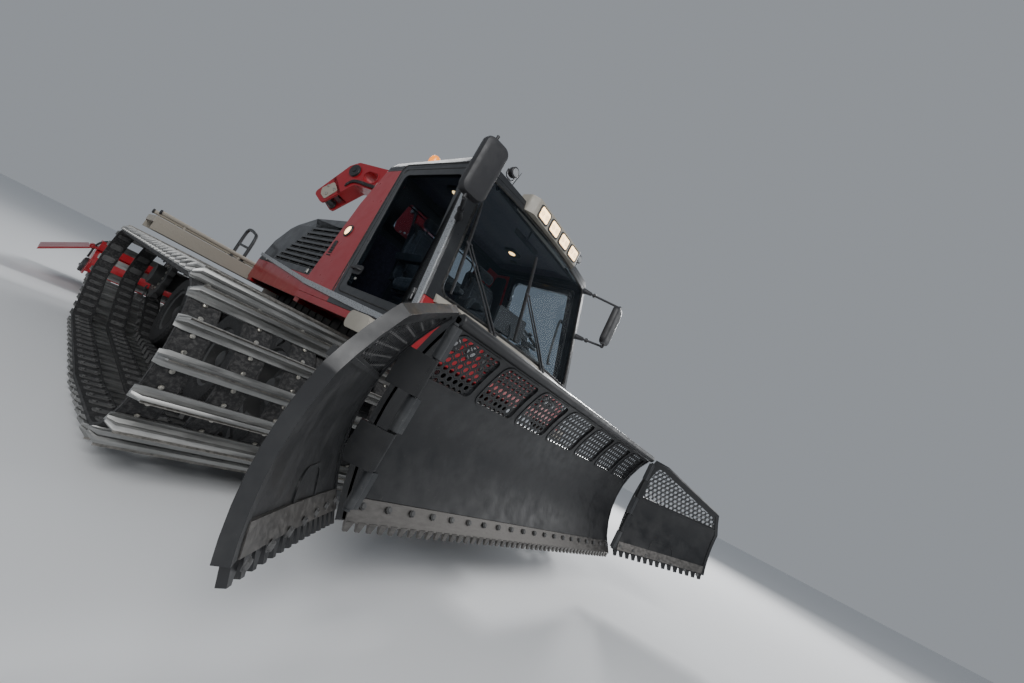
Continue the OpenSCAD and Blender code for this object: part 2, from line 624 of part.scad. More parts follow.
// Hydraulic cylinders: the barrel turns on its base pin, and the rod ends in an open eye
barrel_r = 48;
ram_r = 24;
module ram_barrel(p, q, long) {
  d = unit(q - p);
  difference() {
    union() {
      between(p + d * 40, p + d * long, barrel_r);
      rod_x(p[1], p[2], eye_r, p[0] - cyl_half, p[0] + cyl_half);
    }
    between(p + d * 60, p + d * (long + 5), ram_r + pin_gap);
  }
  rod_x(p[1], p[2], cyl_pin_r, p[0] - cyl_half - cyl_lug_t - 2, p[0] + cyl_half + cyl_lug_t + 2);
}
module ram_rod(p, q, long) {
  d = unit(p - q);
  difference() {
    union() {
      between(q, q + d * long, ram_r);
      rod_x(q[1], q[2], eye_r, q[0] - cyl_half, q[0] + cyl_half);
    }
    rod_x(q[1], q[2], cyl_pin_r + eye_play, q[0] - 100, q[0] + 100);
  }
}

// Front lift frame, the carrier that turns on its kingpin and the blade that tilts on the carrier
kingpin_y = -2400;
king_r = 60;
fork_r = 110;
hub_z = [432, 558];
lift_eye = [-2070, 560];
lift_b = [cyl_x, cyl_base[0], cyl_base[1]];
lift_e = [cyl_x, lift_eye[0], lift_eye[1]];
angle_base = [405, -1930];
angle_eye = [300, -2410];
angle_z = 590;
angle_r = 38;
angle_pin = 20;
angle_eye_r = 40;
module lift_frame() color(dark) {
  both() {
    rod_x(lift_pivot[0], lift_pivot[1], pin_r, lug_x[0], lug_x[1] + lug_t);
    rod_x(lift_pivot[0], lift_pivot[1], 55, arm_x[0], arm_x[1]);
    sheet_x([[lift_pivot[0], 350], [-2230, 395], [-2230, 500], [lift_pivot[0], 450]], arm_x[0], arm_x[1]);
    block(arm_x[0], arm_x[1], angle_base[1] - 30, angle_base[1] + 30, 440, angle_z - angle_r - 4);
    rod_z(angle_base[0], angle_base[1], angle_pin, angle_z - angle_r - 10, angle_z + angle_r + 4);
    for (x = cyl_lug_x)
      sheet_x([[-2125, 470], [-2015, 470], [-2030, 600], [-2110, 600]], x, x + cyl_lug_t);
    rod_x(lift_eye[0], lift_eye[1], cyl_pin_r, cyl_lug_x[0], cyl_lug_x[1] + cyl_lug_t);
  }
  block(-lug_x[1] + 2, lug_x[1] - 2, -2120, -2020, 385, 485);
  block(-lug_x[1] + 2, lug_x[1] - 2, -2295, -2225, 395, 500);
  difference() {
    union() {
      block(-fork_r, fork_r, kingpin_y, -2240, hub_z[0] - 52, hub_z[0] - 2);
      block(-fork_r, fork_r, kingpin_y, -2240, hub_z[1] + 2, hub_z[1] + 52);
      block(-fork_r, fork_r, -2295, -2240, hub_z[0] - 52, hub_z[1] + 52);
      rod_z(0, kingpin_y, fork_r, hub_z[0] - 52, hub_z[0] - 2);
      rod_z(0, kingpin_y, fork_r, hub_z[1] + 2, hub_z[1] + 52);
    }
    rod_z(0, kingpin_y, king_r + pin_gap, 300, 700);
  }
}
module lift_barrels() color(steel) both() ram_barrel(lift_b, lift_e, 350);
module lift_rods() color(silver) both() ram_rod(lift_b, lift_e, 330);
tilt_r = 50;
tilt_z = 495;
tilt_reach = 180;
bracket_y = -2525;
module blade_carrier() color(dark) {
  rod_z(0, kingpin_y, king_r, hub_z[0] - 52, hub_z[1] + 52);
  rod_z(0, kingpin_y, 98, hub_z[0], hub_z[1]);
  block(-90, 90, bracket_y + 8, kingpin_y, hub_z[0], hub_z[1]);
  translate([0, kingpin_y - 80, tilt_z]) rotate([90, 0, 0])
    cylinder(r = tilt_r, h = tilt_reach - 85, $fn = 48);
  both() {
    block(0, angle_eye[0] + 40, angle_eye[1] - 40, angle_eye[1] + 40, 508, 546);
    rod_z(angle_eye[0], angle_eye[1], angle_pin, 540, angle_z + angle_r + 4);
  }
}
angle_b = [angle_base[0], angle_base[1], angle_z];
angle_e = [angle_eye[0], angle_eye[1], angle_z];
angle_long = 325;
angle_rod_long = 300;
module angle_barrel() color(steel) {
  d = unit(angle_e - angle_b);
  difference() {
    union() {
      between(angle_b, angle_b + d * angle_long, angle_r);
      rod_z(angle_b[0], angle_b[1], angle_eye_r, angle_z - 33, angle_z + 33);
    }
    rod_z(angle_b[0], angle_b[1], angle_pin + pin_gap, angle_z - 60, angle_z + 60);
    between(angle_b + d * 65, angle_b + d * (angle_long + 5), angle_pin + pin_gap);
  }
}
module angle_rod() color(silver) {
  d = unit(angle_b - angle_e);
  difference() {
    union() {
      between(angle_e, angle_e + d * angle_rod_long, angle_pin);
      rod_z(angle_e[0], angle_e[1], angle_eye_r, angle_z - 33, angle_z + 33);
    }
    rod_z(angle_e[0], angle_e[1], angle_pin + eye_play, angle_z - 60, angle_z + 60);
  }
}

// Blade: in its own frame y runs back from the chord and z up along it, from the cutting edge
function mould_angle(z) = asin((z - mould_c[1]) / mould_r);
function mould_band(d0, d1, z0, z1, n) = let (a = mould_angle(z0), b = mould_angle(z1))
  concat(arc(mould_c, mould_r + d0, a, b, n), arc(mould_c, mould_r + d1, b, a, n));
mould_shape = mould_band(0, blade_t, 0, blade_h, 10);
module at_blade() translate([0, edge_y, blade_low]) rotate([chord_lean, 0, 0]) children();
tooth_w = 60;
tooth_h = 40;
edge_z = 80;
edge_shape = [[-14, -tooth_h], [-2, -tooth_h], [12, 0], [mould_at(edge_z) + 8, edge_z],
  [mould_at(edge_z) - 10, edge_z], [-14, -8]];
// A row of teeth hanging from the line p to q
function teeth(p, q) =
  let (n = round(norm(q - p) / tooth_w), u = (q - p) / n, d = unit(q - p), m = [d[1], -d[0]] * tooth_h)
  [for (i = [0:n - 1]) each [p + u * i, p + u * (i + 0.15) + m, p + u * (i + 0.5) + m, p + u * (i + 0.65)]];
module toothed_edge(x0, x1) intersection() {
  sheet_y(concat(teeth([x0, 0], [x1, 0]), [[x1, 0], [x1, 200], [x0, 200]]), -100, 200);
  sheet_x(edge_shape, x0 - 1, x1 + 1);
}
rib_x = [for (i = [0:3]) 220 + i * (blade_half - 260) / 3];
beam_y = [150, 225];
beam_z = [330, 460];
rib_end = 2;
rib_shape = concat(arc(mould_c, mould_r + blade_t - 2, rib_end - mould_a, mould_a - rib_end, 8),
  [[70, blade_h - 40], [beam_y[1], beam_z[1] + 40], [beam_y[1], beam_z[0] - 60], [60, 60]]);
bracket_z = [tilt_z - blade_low - 105, tilt_z - blade_low + 105];
bracket_shape = concat(
  arc(mould_c, mould_r + blade_t - 2, mould_angle(bracket_z[0]), mould_angle(bracket_z[1]), 5),
  [[beam_y[1], bracket_z[1]], [beam_y[1], bracket_z[0]]]);
wing_axis = [blade_half + 30, -wing_pivot_in];
knuckle_r = 22;
knuckle_pin = 12;
knuckle_rows = [[60, 220], [400, 560], [740, 900]];
wing_rows = [[226, 394], [566, 734]];
module knuckle(rows) for (k = rows) rod_z(wing_axis[0], wing_axis[1], knuckle_r, k[0], k[1]);
// Windows near the rim, each closed by a thin guard sheet
guard_z = [650, 890];
guard_edge = 32;
guard_t = 6;
module blade_windows() {
  block(-rib_x[0] + guard_edge, rib_x[0] - guard_edge, -100, 400, guard_z[0], guard_z[1]);
  both() for (i = [0:2])
    block(rib_x[i] + guard_edge, rib_x[i + 1] - guard_edge, -100, 400, guard_z[0], guard_z[1]);
}
module blade() color(black) at_blade() difference() {
  union() {
    difference() {
      sheet_x(mould_shape, -blade_half, blade_half);
      blade_windows();
    }
    sheet_x(mould_band(7, 7 + guard_t, guard_z[0] - 20, guard_z[1] + 20, 4),
      20 - blade_half, blade_half - 20);
    toothed_edge(-blade_half, blade_half);
    rod_x(10, blade_h, 32, -blade_half, blade_half);
    block(-blade_half + 40, blade_half - 40, beam_y[0], beam_y[1], beam_z[0], beam_z[1]);
    sheet_x(bracket_shape, -170, 170);
    both() {
      for (x = rib_x) sheet_x(rib_shape, x - 12, x + 12);
      sheet_x(mould_band(-2, 65, 4, blade_h - 4, 8), blade_half - 22, blade_half);
      for (k = knuckle_rows) block(blade_half - 10, wing_axis[0], wing_axis[1] - 16, 6, k[0], k[1]);
      for (k = knuckle_rows) block(blade_half - 20, blade_half, -10, mould_at(k[0]) + 10, k[0], k[1]);
      knuckle(knuckle_rows);
      rod_z(wing_axis[0], wing_axis[1], knuckle_pin, 54, 906);
    }
  }
  rotate([-chord_lean, 0, 0]) translate([0, -edge_y, -blade_low]) {
    translate([0, kingpin_y, tilt_z]) rotate([90, 0, 0])
      cylinder(r = tilt_r + pin_gap, h = tilt_reach, $fn = 48);
    block(-300, 300, bracket_y, -2300, 200, 800);
  }
}
// Wing outline: its foot follows the teeth, and its tip corners stand in from the end by the first column
wing_in = wing_axis[0] + 30;
wing_out = wing_axis[0] + wing_len;
wing_tips = [[0, wing_tip_z], [30, 615], [130, 790]];
wing_top = [[wing_in + 140, blade_h], [wing_in, blade_h]];
wing_tip = [for (t = wing_tips) [wing_out - t[0], t[1]]];
wing_pts = concat(teeth([wing_in, tooth_h], wing_tip[0]), wing_tip, wing_top);
rim_w = 26;
rim_back = 65;
wing_inner = [[wing_in + rim_w, -100], [wing_out - rim_w + 16, -100], [wing_out - rim_w - 3, wing_tip_z],
  [wing_out - rim_w - 30, 606], [wing_out - rim_w - 124, 768], [wing_in + 130, blade_h - rim_w],
  [wing_in + rim_w, blade_h - rim_w]];
wing_guard = [[wing_in + 40, 580], [wing_out - 90, 660], [wing_out - 175, 745], [wing_in + 125, 895],
  [wing_in + 60, 895]];
guard_rail = [[wing_in + 10, 530], [wing_out - 40, 620], [wing_out - 40, 644], [wing_in + 10, 554]];
module wing_turn(a) translate([wing_axis[0], wing_axis[1], 0]) rotate([0, 0, -a])
  translate([-wing_axis[0], -wing_axis[1], 0]) children();
module wing_sheet(d0, d1, pts, n) intersection() {
  sheet_x(mould_band(d0, d1, 0, blade_h, n), wing_in, wing_out);
  sheet_y(pts, -60, 400);
}
module wing_frame() difference() {
  wing_sheet(-rim_front, rim_back, wing_pts, 8);
  sheet_y(wing_inner, -100, 500);
}
module wing() color(black) at_blade() wing_turn(wing_rest) difference() {
  union() {
    difference() {
      wing_sheet(0, blade_t, wing_pts, 10);
      sheet_y(wing_guard, -100, 500);
    }
    wing_sheet(7, 7 + guard_t, grow(wing_guard, 8), 10);
    wing_sheet(2, 45, guard_rail, 6);
    wing_frame();
    for (k = wing_rows) block(wing_axis[0], wing_in + 10, wing_axis[1] - 16, 6, k[0], k[1]);
    for (k = wing_rows) block(wing_in, wing_in + 20, -10, mould_at(k[0]) + 10, k[0], k[1]);
    knuckle(wing_rows);
  }
  rod_z(wing_axis[0], wing_axis[1], knuckle_pin + pin_gap, -10, blade_h + 10);
}

// Tiller: lift frame, housing over the reel, rubber comb and a folding finisher at each end
reel_z = 345;
tiller_eye = [tiller_pivot[0] + 390, 620];
link_y = [tiller_y - 410, tiller_y - 300];
tiller_b = [cyl_x, tiller_base[0], tiller_base[1]];
tiller_e = [cyl_x, tiller_eye[0], tiller_eye[1]];
hood_in = reel_r + 50;
comb_y = tiller_y + hood_in + 16;
shaft_r = 40;
module tiller_frame() color(red) {
  both() {
    rod_x(tiller_pivot[0], tiller_pivot[1], pin_r, lug_x[0], lug_x[1] + lug_t);
    rod_x(tiller_pivot[0], tiller_pivot[1], 55, arm_x[0], arm_x[1]);
    sheet_x([[tiller_pivot[0], 470], [link_y[1] - 30, 480], [link_y[1] - 30, 590],
      [tiller_pivot[0], 570]], arm_x[0], arm_x[1]);
    for (x = cyl_lug_x) sheet_x([[tiller_eye[0] - 60, 545], [tiller_eye[0] + 60, 545],
      [tiller_eye[0] + 40, 665], [tiller_eye[0] - 35, 665]], x, x + cyl_lug_t);
    rod_x(tiller_eye[0], tiller_eye[1], cyl_pin_r, cyl_lug_x[0], cyl_lug_x[1] + cyl_lug_t);
  }
  block(-lug_x[1] + 2, lug_x[1] - 2, tiller_eye[0] - 60, tiller_eye[0] + 60, 465, 555);
  block(-lug_x[1] + 2, lug_x[1] - 2, link_y[0], link_y[1], 480, 590);
}
module tiller_barrels() color(steel) both() ram_barrel(tiller_b, tiller_e, 345);
module tiller_rods() color(silver) both() ram_rod(tiller_b, tiller_e, 320);
module reel_cover(r0, r1)
  sheet_x(concat(arc([tiller_y, reel_z], r0, -10, 190, 14), arc([tiller_y, reel_z], r1, 190, -10, 14)),
    -tiller_half, tiller_half);
flap_pin = [tiller_half + 40, 600];
flap_pin_r = 20;
flap_knuckle = [tiller_y - 55, tiller_y + 105];
flap_lug = 45;
flap_end_y = comb_end_y - 500;
end_plate = concat([[tiller_y - 150, 250]], arc([tiller_y, reel_z], hood_in + 16, 200, -20, 12),
  [[tiller_y + 150, 250]]);
module tiller_housing() color(red) difference() {
  union() {
    reel_cover(hood_in, hood_in + 16);
    block(-tiller_half, tiller_half, tiller_y - 110, tiller_y + 110, reel_z + hood_in + 5,
      reel_z + hood_in + 130);
    block(-tiller_half + 20, tiller_half - 20, tiller_y + hood_in + 2, comb_y, 335, 415);
    for (x = [-300, 300]) block(x - 60, x + 60, link_y[1] + seat_gap, tiller_y - 150, 500, 590);
    both() sheet_x(end_plate, tiller_half - 16, tiller_half);
    both() {
      rod_y(flap_pin[0], flap_pin[1], flap_pin_r, flap_knuckle[0] - flap_lug, flap_knuckle[1] + flap_lug);
      for (y = [flap_knuckle[0] - flap_lug, flap_knuckle[1] + 5])
        block(tiller_half - 5, flap_pin[0], y, y + flap_lug - 5, flap_pin[1] - 15, flap_pin[1] + 15);
    }
  }
  rod_x(tiller_y, reel_z, shaft_r + pin_gap, -3000, 3000);
}
disc_n = 24;
tine_n = 5;
function star(r0, r1, n) = [for (i = [0:n - 1]) for (p = [[r0, 0], [r1, 0.35], [r1, 0.5], [r0, 0.6]])
  polar(p[0], 360 * (i + p[1]) / n)];
module tiller_reel() color(steel) translate([0, tiller_y, reel_z]) rotate([90, 0, 90]) {
  translate([0, 0, -tiller_half]) cylinder(r = shaft_r, h = 2 * tiller_half, $fn = 40);
  translate([0, 0, -tiller_half + 30]) cylinder(r = 70, h = 2 * tiller_half - 60, $fn = 40);
  for (i = [0:disc_n - 1]) translate([0, 0, -tiller_half + 70 + i * (2 * tiller_half - 180) / (disc_n - 1)])
    rotate(i * 21) linear_extrude(40) polygon(star(64, reel_r, tine_n));
}
comb_slot = 36;
comb_n = 22;
module tiller_comb() color(rubber) difference() {
  sheet_x([[comb_y + seat_gap, 420], [comb_end_y - 420, 300], [comb_end_y, 235], [comb_end_y, 205],
    [comb_end_y - 430, 268], [comb_y + seat_gap, 330]], -tiller_half + 20, tiller_half - 20);
  for (i = [0:comb_n - 1]) let (x = -tiller_half + 100 + i * (2 * tiller_half - 200) / (comb_n - 1))
    block(x - comb_slot / 2, x + comb_slot / 2, comb_end_y - 260, comb_end_y + 10, 150, 400);
}
flap_x = tiller_half + 56;
flap_out = tiller_half + flap_w;
module side_finisher() color(red) difference() {
  union() {
    rod_y(flap_pin[0], flap_pin[1], 34, flap_knuckle[0], flap_knuckle[1]);
    sheet_y([[flap_x, 585], [flap_out, 330], [flap_out, 300], [flap_x, 560]], flap_knuckle[0], flap_end_y);
  }
  rod_y(flap_pin[0], flap_pin[1], flap_pin_r + pin_gap, flap_knuckle[0] - 10, flap_knuckle[1] + 10);
}

place() chassis_tub();
place() engine_block();
place() axle_arms();
left() wheels();  // wheels_left
right() wheels();  // wheels_right
left() sprocket();  // sprocket_left
right() sprocket();  // sprocket_right
left() track();  // track_left
right() track();  // track_right
place() cab_floor();
place() cab_frame();
place() cab_roof();
place() red_quarters();
place() windscreen();
place() rear_glass();
place() side_trims();
place() seats();
place() dashboard();
place() roof_lamps();
place() mirrors();
place() wipers();
left() door_panel();  // door_left
right() door_panel();  // door_right
left() door_glass();  // door_glass_left
right() door_glass();  // door_glass_right
place() engine_hood();
place() lower_panels();
place() rear_platform();
place() winch_frame();
place() winch_boom();
place() lift_frame();
place() lift_barrels();
place() lift_rods();
place() blade_carrier();
left() angle_barrel();  // angle_barrel_left
left() angle_rod();  // angle_rod_left
right() angle_barrel();  // angle_barrel_right
right() angle_rod();  // angle_rod_right
place() blade();
left() wing();  // wing_left
right() wing();  // wing_right
place() tiller_frame();
place() tiller_barrels();
place() tiller_rods();
place() tiller_housing();
place() tiller_reel();
place() tiller_comb();
left() side_finisher();  // side_finisher_left
right() side_finisher();  // side_finisher_right
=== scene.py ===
import bmesh
import bpy
import json
import math
from mathutils import Matrix, Vector


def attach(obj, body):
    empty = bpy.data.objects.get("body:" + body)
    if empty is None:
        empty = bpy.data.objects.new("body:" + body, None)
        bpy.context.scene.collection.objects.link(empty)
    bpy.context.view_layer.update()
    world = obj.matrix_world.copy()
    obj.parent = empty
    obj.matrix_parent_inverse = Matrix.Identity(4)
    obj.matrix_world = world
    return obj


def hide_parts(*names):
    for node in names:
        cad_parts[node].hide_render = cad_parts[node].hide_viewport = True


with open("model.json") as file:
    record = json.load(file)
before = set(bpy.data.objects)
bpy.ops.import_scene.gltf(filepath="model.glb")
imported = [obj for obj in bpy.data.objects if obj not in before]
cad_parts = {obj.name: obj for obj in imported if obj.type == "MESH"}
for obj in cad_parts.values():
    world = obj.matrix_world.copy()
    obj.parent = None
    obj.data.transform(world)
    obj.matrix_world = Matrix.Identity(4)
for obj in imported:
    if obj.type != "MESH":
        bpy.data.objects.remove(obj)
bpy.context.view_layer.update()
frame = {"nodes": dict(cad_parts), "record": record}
print("frame loaded:", len(frame["nodes"]), "nodes")

# Lengths below are millimetres in the machine's own frame: y counts from the cab's rear wall
shiftY = -0.6528
pi = math.pi


def place(p):
    return Vector((p[0] / 1000, p[1] / 1000 + shiftY, p[2] / 1000))


def rad(a):
    return math.radians(a)


# camera, at the photograph's viewing angle
cameraSet = {"focalPx": 411.0, "eye": (-2598, -4084, 1020), "right": (0.53664, -0.71453, 0.44885),
             "down": (0.41997, -0.23520, -0.87653), "forward": (0.73187, 0.65889, 0.17386)}


def makeCamera():
    data = bpy.data.cameras.new("photoCamera")
    camera = bpy.data.objects.new("photoCamera", data)
    bpy.context.scene.collection.objects.link(camera)
    data.sensor_width = 36
    data.lens = cameraSet["focalPx"] / 1024 * 36
    right, forward = Vector(cameraSet["right"]).normalized(), Vector(cameraSet["forward"]).normalized()
    down = forward.cross(right).normalized()
    turn = Matrix((right, -down, -forward)).transposed().to_4x4()
    camera.matrix_world = Matrix.Translation(place(cameraSet["eye"])) @ turn
    data.clip_start, data.clip_end = 0.05, 200
    bpy.context.scene.camera = camera


makeCamera()


# materials
class Wire:  # a socket that takes part in sums
    def __init__(self, mat, socket):
        self.mat, self.socket = mat, socket

    def math(self, op, other=None):
        return self.mat.node("Math", {"operation": op}, {0: self} if other is None else {0: self, 1: other})

    def __add__(self, other):
        return self.math("ADD", other)

    def __radd__(self, other):
        return self.math("ADD", other)

    def __mul__(self, other):
        return self.math("MULTIPLY", other)

    def __rmul__(self, other):
        return self.math("MULTIPLY", other)


class Finish:  # one material: a Principled shader and the nodes that feed it
    def __init__(self, name, color, roughness, metallic=0.0, coat=0.0, coatRough=0.05, specular=0.5):
        self.material = bpy.data.materials.new(name)
        self.material.use_nodes = True
        self.tree = self.material.node_tree
        self.shader = self.tree.nodes["Principled BSDF"]
        self.color = color
        self.set("Base Color", (*color, 1))
        self.set("Roughness", roughness)
        self.set("Metallic", metallic)
        self.set("Coat Weight", coat)
        self.set("Coat Roughness", coatRough)
        self.set("Specular IOR Level", specular)
        self.material.diffuse_color = (*color, 1)

    def set(self, name, value):
        if isinstance(value, Wire):
            self.tree.links.new(value.socket, self.shader.inputs[name])
        else:
            self.shader.inputs[name].default_value = value
        return self

    def node(self, kind, settings=None, inputs=None, output=0):
        n = self.tree.nodes.new("ShaderNode" + kind)
        for key, value in (settings or {}).items():
            setattr(n, key, value)
        for key, value in (inputs or {}).items():
            if isinstance(value, Wire):
                self.tree.links.new(value.socket, n.inputs[key])
            else:
                n.inputs[key].default_value = value
        return Wire(self, n.outputs[output])

    def coords(self):
        return self.node("TexCoord", output=3)

    def axis(self, index):
        return self.node("SeparateXYZ", inputs={0: self.coords()}, output=index)

    def noise(self, scale, detail=3.0, rough=0.5, stretch=None):
        at = self.coords()
        if stretch:
            at = self.node("Mapping", inputs={0: at, 3: stretch})
        return self.node("TexNoise", inputs={"Vector": at, "Scale": scale, "Detail": detail,
                                             "Roughness": rough})

    def ramp(self, value, low, high, a=0.0, b=1.0):
        return self.node("MapRange", {"clamp": True}, {0: value, 1: low, 2: high, 3: a, 4: b})

    def mix(self, factor, a, b):
        first = a if isinstance(a, Wire) else (*a, 1)
        second = b if isinstance(b, Wire) else (*b, 1)
        return self.node("Mix", {"data_type": "RGBA"}, {0: factor, 6: first, 7: second}, output=2)

    def bump(self, height, strength=0.3, distance=0.002):
        return self.set("Normal", self.node("Bump", inputs={"Strength": strength, "Distance": distance,
                                                            "Height": height}))


# dried meltwater: heavier low down and in patches
def dusty(finish, amount, tint=(0.5, 0.5, 0.48), scale=6.0):
    low = finish.ramp(finish.axis(2), 0.2, 1.6, 1.0, 0.25)
    patches = finish.ramp(finish.noise(scale, 6.0, 0.65), 0.46, 0.72)
    return finish.mix(patches * low * amount, finish.color, tint)


def bodyPaint(name, color, haze):
    f = Finish(name, color, 0.34, coat=0.35, coatRough=0.06, specular=0.4)
    f.set("Base Color", dusty(f, haze))
    f.set("Roughness", f.ramp(f.noise(9.0, 5.0), 0.3, 0.7, 0.26, 0.42))
    f.bump(f.noise(900.0, 2.0), 0.04, 0.0004)
    return f.material


def framePaint(name, color, rough=0.5, chips=0.35, dust=0.12):
    f = Finish(name, color, rough, specular=0.45)
    worn = f.ramp(f.noise(38.0, 8.0, 0.7), 0.63, 0.7)
    f.set("Base Color", f.mix(worn * chips, dusty(f, dust), (0.22, 0.2, 0.18)))
    f.set("Roughness", f.ramp(f.noise(14.0, 5.0), 0.3, 0.7, rough - 0.1, rough + 0.12))
    f.bump(f.noise(240.0, 3.0), 0.12, 0.0008)
    return f.material


def bareMetal(name, color, rough, grain=(1, 1, 1), scale=60.0, metallic=1.0):
    f = Finish(name, color, rough, metallic=metallic)
    streak = f.noise(scale, 6.0, 0.6, grain)
    dark = tuple(c * 0.6 for c in color)
    f.set("Base Color", f.mix(f.ramp(streak, 0.35, 0.7), dark, color))
    f.set("Roughness", f.ramp(streak, 0.3, 0.7, rough - 0.08, rough + 0.14))
    f.bump(streak, 0.1, 0.0005)
    return f.material


def mouldedPlastic(name, color, rough=0.5, grain=700.0, strength=0.25):
    f = Finish(name, color, rough)
    f.set("Roughness", f.ramp(f.noise(20.0, 4.0), 0.3, 0.7, rough - 0.07, rough + 0.08))
    f.set("Base Color", f.mix(f.ramp(f.noise(4.0, 5.0), 0.4, 0.75), color,
                              tuple(c * 1.35 + 0.004 for c in color)))
    f.bump(f.node("TexVoronoi", inputs={"Vector": f.coords(), "Scale": grain}), strength, 0.0006)
    return f.material


def rubberFinish(name, color, rough=0.75):
    f = Finish(name, color, rough, specular=0.3)
    grit = f.noise(55.0, 8.0, 0.7)
    f.set("Base Color", f.mix(f.ramp(grit, 0.45, 0.75, 0.0, 0.5), color, (0.16, 0.155, 0.15)))
    f.set("Roughness", f.ramp(grit, 0.3, 0.7, rough - 0.1, rough + 0.1))
    f.bump(f.noise(420.0, 4.0), 0.3, 0.001)
    return f.material


def glassFinish(name, color, gloss, tint):  # a tinted clear film with a share of gloss over it
    f = Finish(name, color, 0.12)
    f.set("Roughness", f.ramp(f.noise(3.0, 3.0, 0.5), 0.4, 0.8, 0.08, 0.16))
    clear = f.node("BsdfTransparent", inputs={"Color": (*tint, 1)})
    share = f.ramp(f.axis(2), 1.4, 2.8, gloss, gloss * 1.4)
    pane = f.node("MixShader", inputs={0: share, 1: clear, 2: Wire(f, f.shader.outputs[0])})
    f.tree.links.new(pane.socket, f.tree.nodes["Material Output"].inputs["Surface"])
    return f.material


def glowFinish(name, color, glow, power):
    f = Finish(name, color, 0.12, coat=1.0)
    cells = f.node("TexVoronoi", inputs={"Vector": f.coords(), "Scale": 90.0})
    f.set("Emission Color", (*glow, 1))
    f.set("Emission Strength", power)
    f.set("Base Color", f.mix(f.ramp(cells, 0.1, 0.6), color, tuple(c * 0.7 for c in color)))
    f.bump(cells, 0.5, 0.002)
    return f.material


def fabricFinish(name, color):
    f = Finish(name, color, 0.85, specular=0.2)
    f.set("Sheen Weight", 0.3)
    x, y, z = f.axis(0), f.axis(1), f.axis(2)
    warp = (x * 2100.0).math("SINE") * ((y + z) * 2100.0).math("SINE")
    f.set("Base Color", f.mix(f.ramp(f.noise(30.0, 6.0), 0.3, 0.7), color, tuple(c * 1.9 for c in color)))
    f.bump(warp, 0.5, 0.0006)
    return f.material


finishes = {
    "black": bodyPaint("blackBodyPaint", (0.011, 0.012, 0.014), 0.1),
    "red": bodyPaint("redBodyPaint", (0.29, 0.008, 0.014), 0.07),
    "steel": framePaint("darkFramePaint", (0.03, 0.032, 0.035)),
    "blade": framePaint("bladePaint", (0.011, 0.0115, 0.013), 0.38, 0.12, 0.04),
    "wear": bareMetal("wornEdge", (0.2, 0.19, 0.18), 0.4, (0.3, 1, 1), 50.0),
    "liner": fabricFinish("roofLining", (0.03, 0.024, 0.036)),
    # glows on the rear lamps and, as a painted glow, on the seat belt buckle
    "redGlow": glowFinish("redLampAndBuckleGlow", (0.45, 0.01, 0.01), (1.0, 0.03, 0.02), 0.4),
    "platform": framePaint("platformPaint", (0.34, 0.31, 0.26), 0.62, 0.3),
    "silver": bareMetal("satinSilver", (0.6, 0.61, 0.62), 0.3, (1, 0.2, 1), 260.0, 0.85),
    "chrome": bareMetal("chromedRod", (0.85, 0.85, 0.86), 0.08, (1, 1, 1), 80.0),
    "alloy": bareMetal("crossbarAlloy", (0.42, 0.42, 0.41), 0.42, (0.15, 1, 1), 30.0),
    "tine": bareMetal("tineSteel", (0.4, 0.38, 0.35), 0.4),
    "cast": framePaint("castIron", (0.07, 0.07, 0.07), 0.62, 0.5),
    "zinc": bareMetal("zincFastener", (0.62, 0.6, 0.55), 0.36, (1, 1, 1), 150.0),
    "belt": rubberFinish("beltRubber", (0.018, 0.018, 0.019)),
    "tyre": rubberFinish("wheelTyre", (0.024, 0.024, 0.025), 0.68),
    "hose": rubberFinish("hoseRubber", (0.014, 0.014, 0.015), 0.5),
    "seal": rubberFinish("windowSeal", (0.012, 0.012, 0.012), 0.6),
    "plastic": mouldedPlastic("blackMoulding", (0.018, 0.018, 0.02)),
    "comb": mouldedPlastic("combPlastic", (0.02, 0.02, 0.022), 0.55, 300.0),
    "lampCase": mouldedPlastic("lampBarMoulding", (0.3, 0.28, 0.24), 0.5),
    "dash": mouldedPlastic("dashMoulding", (0.03, 0.032, 0.035), 0.55),
    "screenGlass": glassFinish("windscreenGlass", (0.03, 0.045, 0.06), 0.05, (0.93, 0.95, 0.96)),
    "doorGlass": glassFinish("doorWindowGlass", (0.012, 0.016, 0.028), 0.012, (0.64, 0.69, 0.73)),
    "lens": glassFinish("clearLens", (0.7, 0.72, 0.74), 0.3, (0.97, 0.97, 0.97)),
    "mirror": Finish("mirrorFace", (0.8, 0.82, 0.84), 0.02, metallic=1.0).material,
    # glows on the real lamps and, as painted sunlight, on the dashes along the roof lining's front
    "lit": glowFinish("litLampAndPaintedSunlight", (1.0, 0.8, 0.5), (1.0, 0.66, 0.3), 4.2),
    "amber": glowFinish("amberDome", (0.9, 0.28, 0.03), (1.0, 0.3, 0.02), 1.2),
    "screen": glowFinish("displayFace", (0.05, 0.1, 0.13), (0.16, 0.4, 0.5), 0.5),
    "fabric": fabricFinish("seatFabric", (0.035, 0.036, 0.04)),
    "leather": mouldedPlastic("seatLeather", (0.022, 0.022, 0.024), 0.5, 260.0, 0.4),
}
print("materials made:", len(finishes))


# meshes
def blank(name):
    obj = bpy.data.objects.new(name, bpy.data.meshes.new(name))
    bpy.context.scene.collection.objects.link(obj)
    return obj


def outward(mesh):  # turns every face outwards
    work = bmesh.new()
    work.from_mesh(mesh)
    bmesh.ops.recalc_face_normals(work, faces=work.faces)
    work.to_mesh(mesh)
    work.free()


def smoothed(mesh, angle):
    mesh.shade_smooth()
    mesh.set_sharp_from_angle(angle=rad(angle))


def easeEdges(obj, bevel, angle):
    edge = obj.modifiers.new("edges", "BEVEL")
    edge.width, edge.segments, edge.limit_method, edge.angle_limit = bevel / 1000, 2, "ANGLE", rad(angle)
    edge.harden_normals = True
    return edge


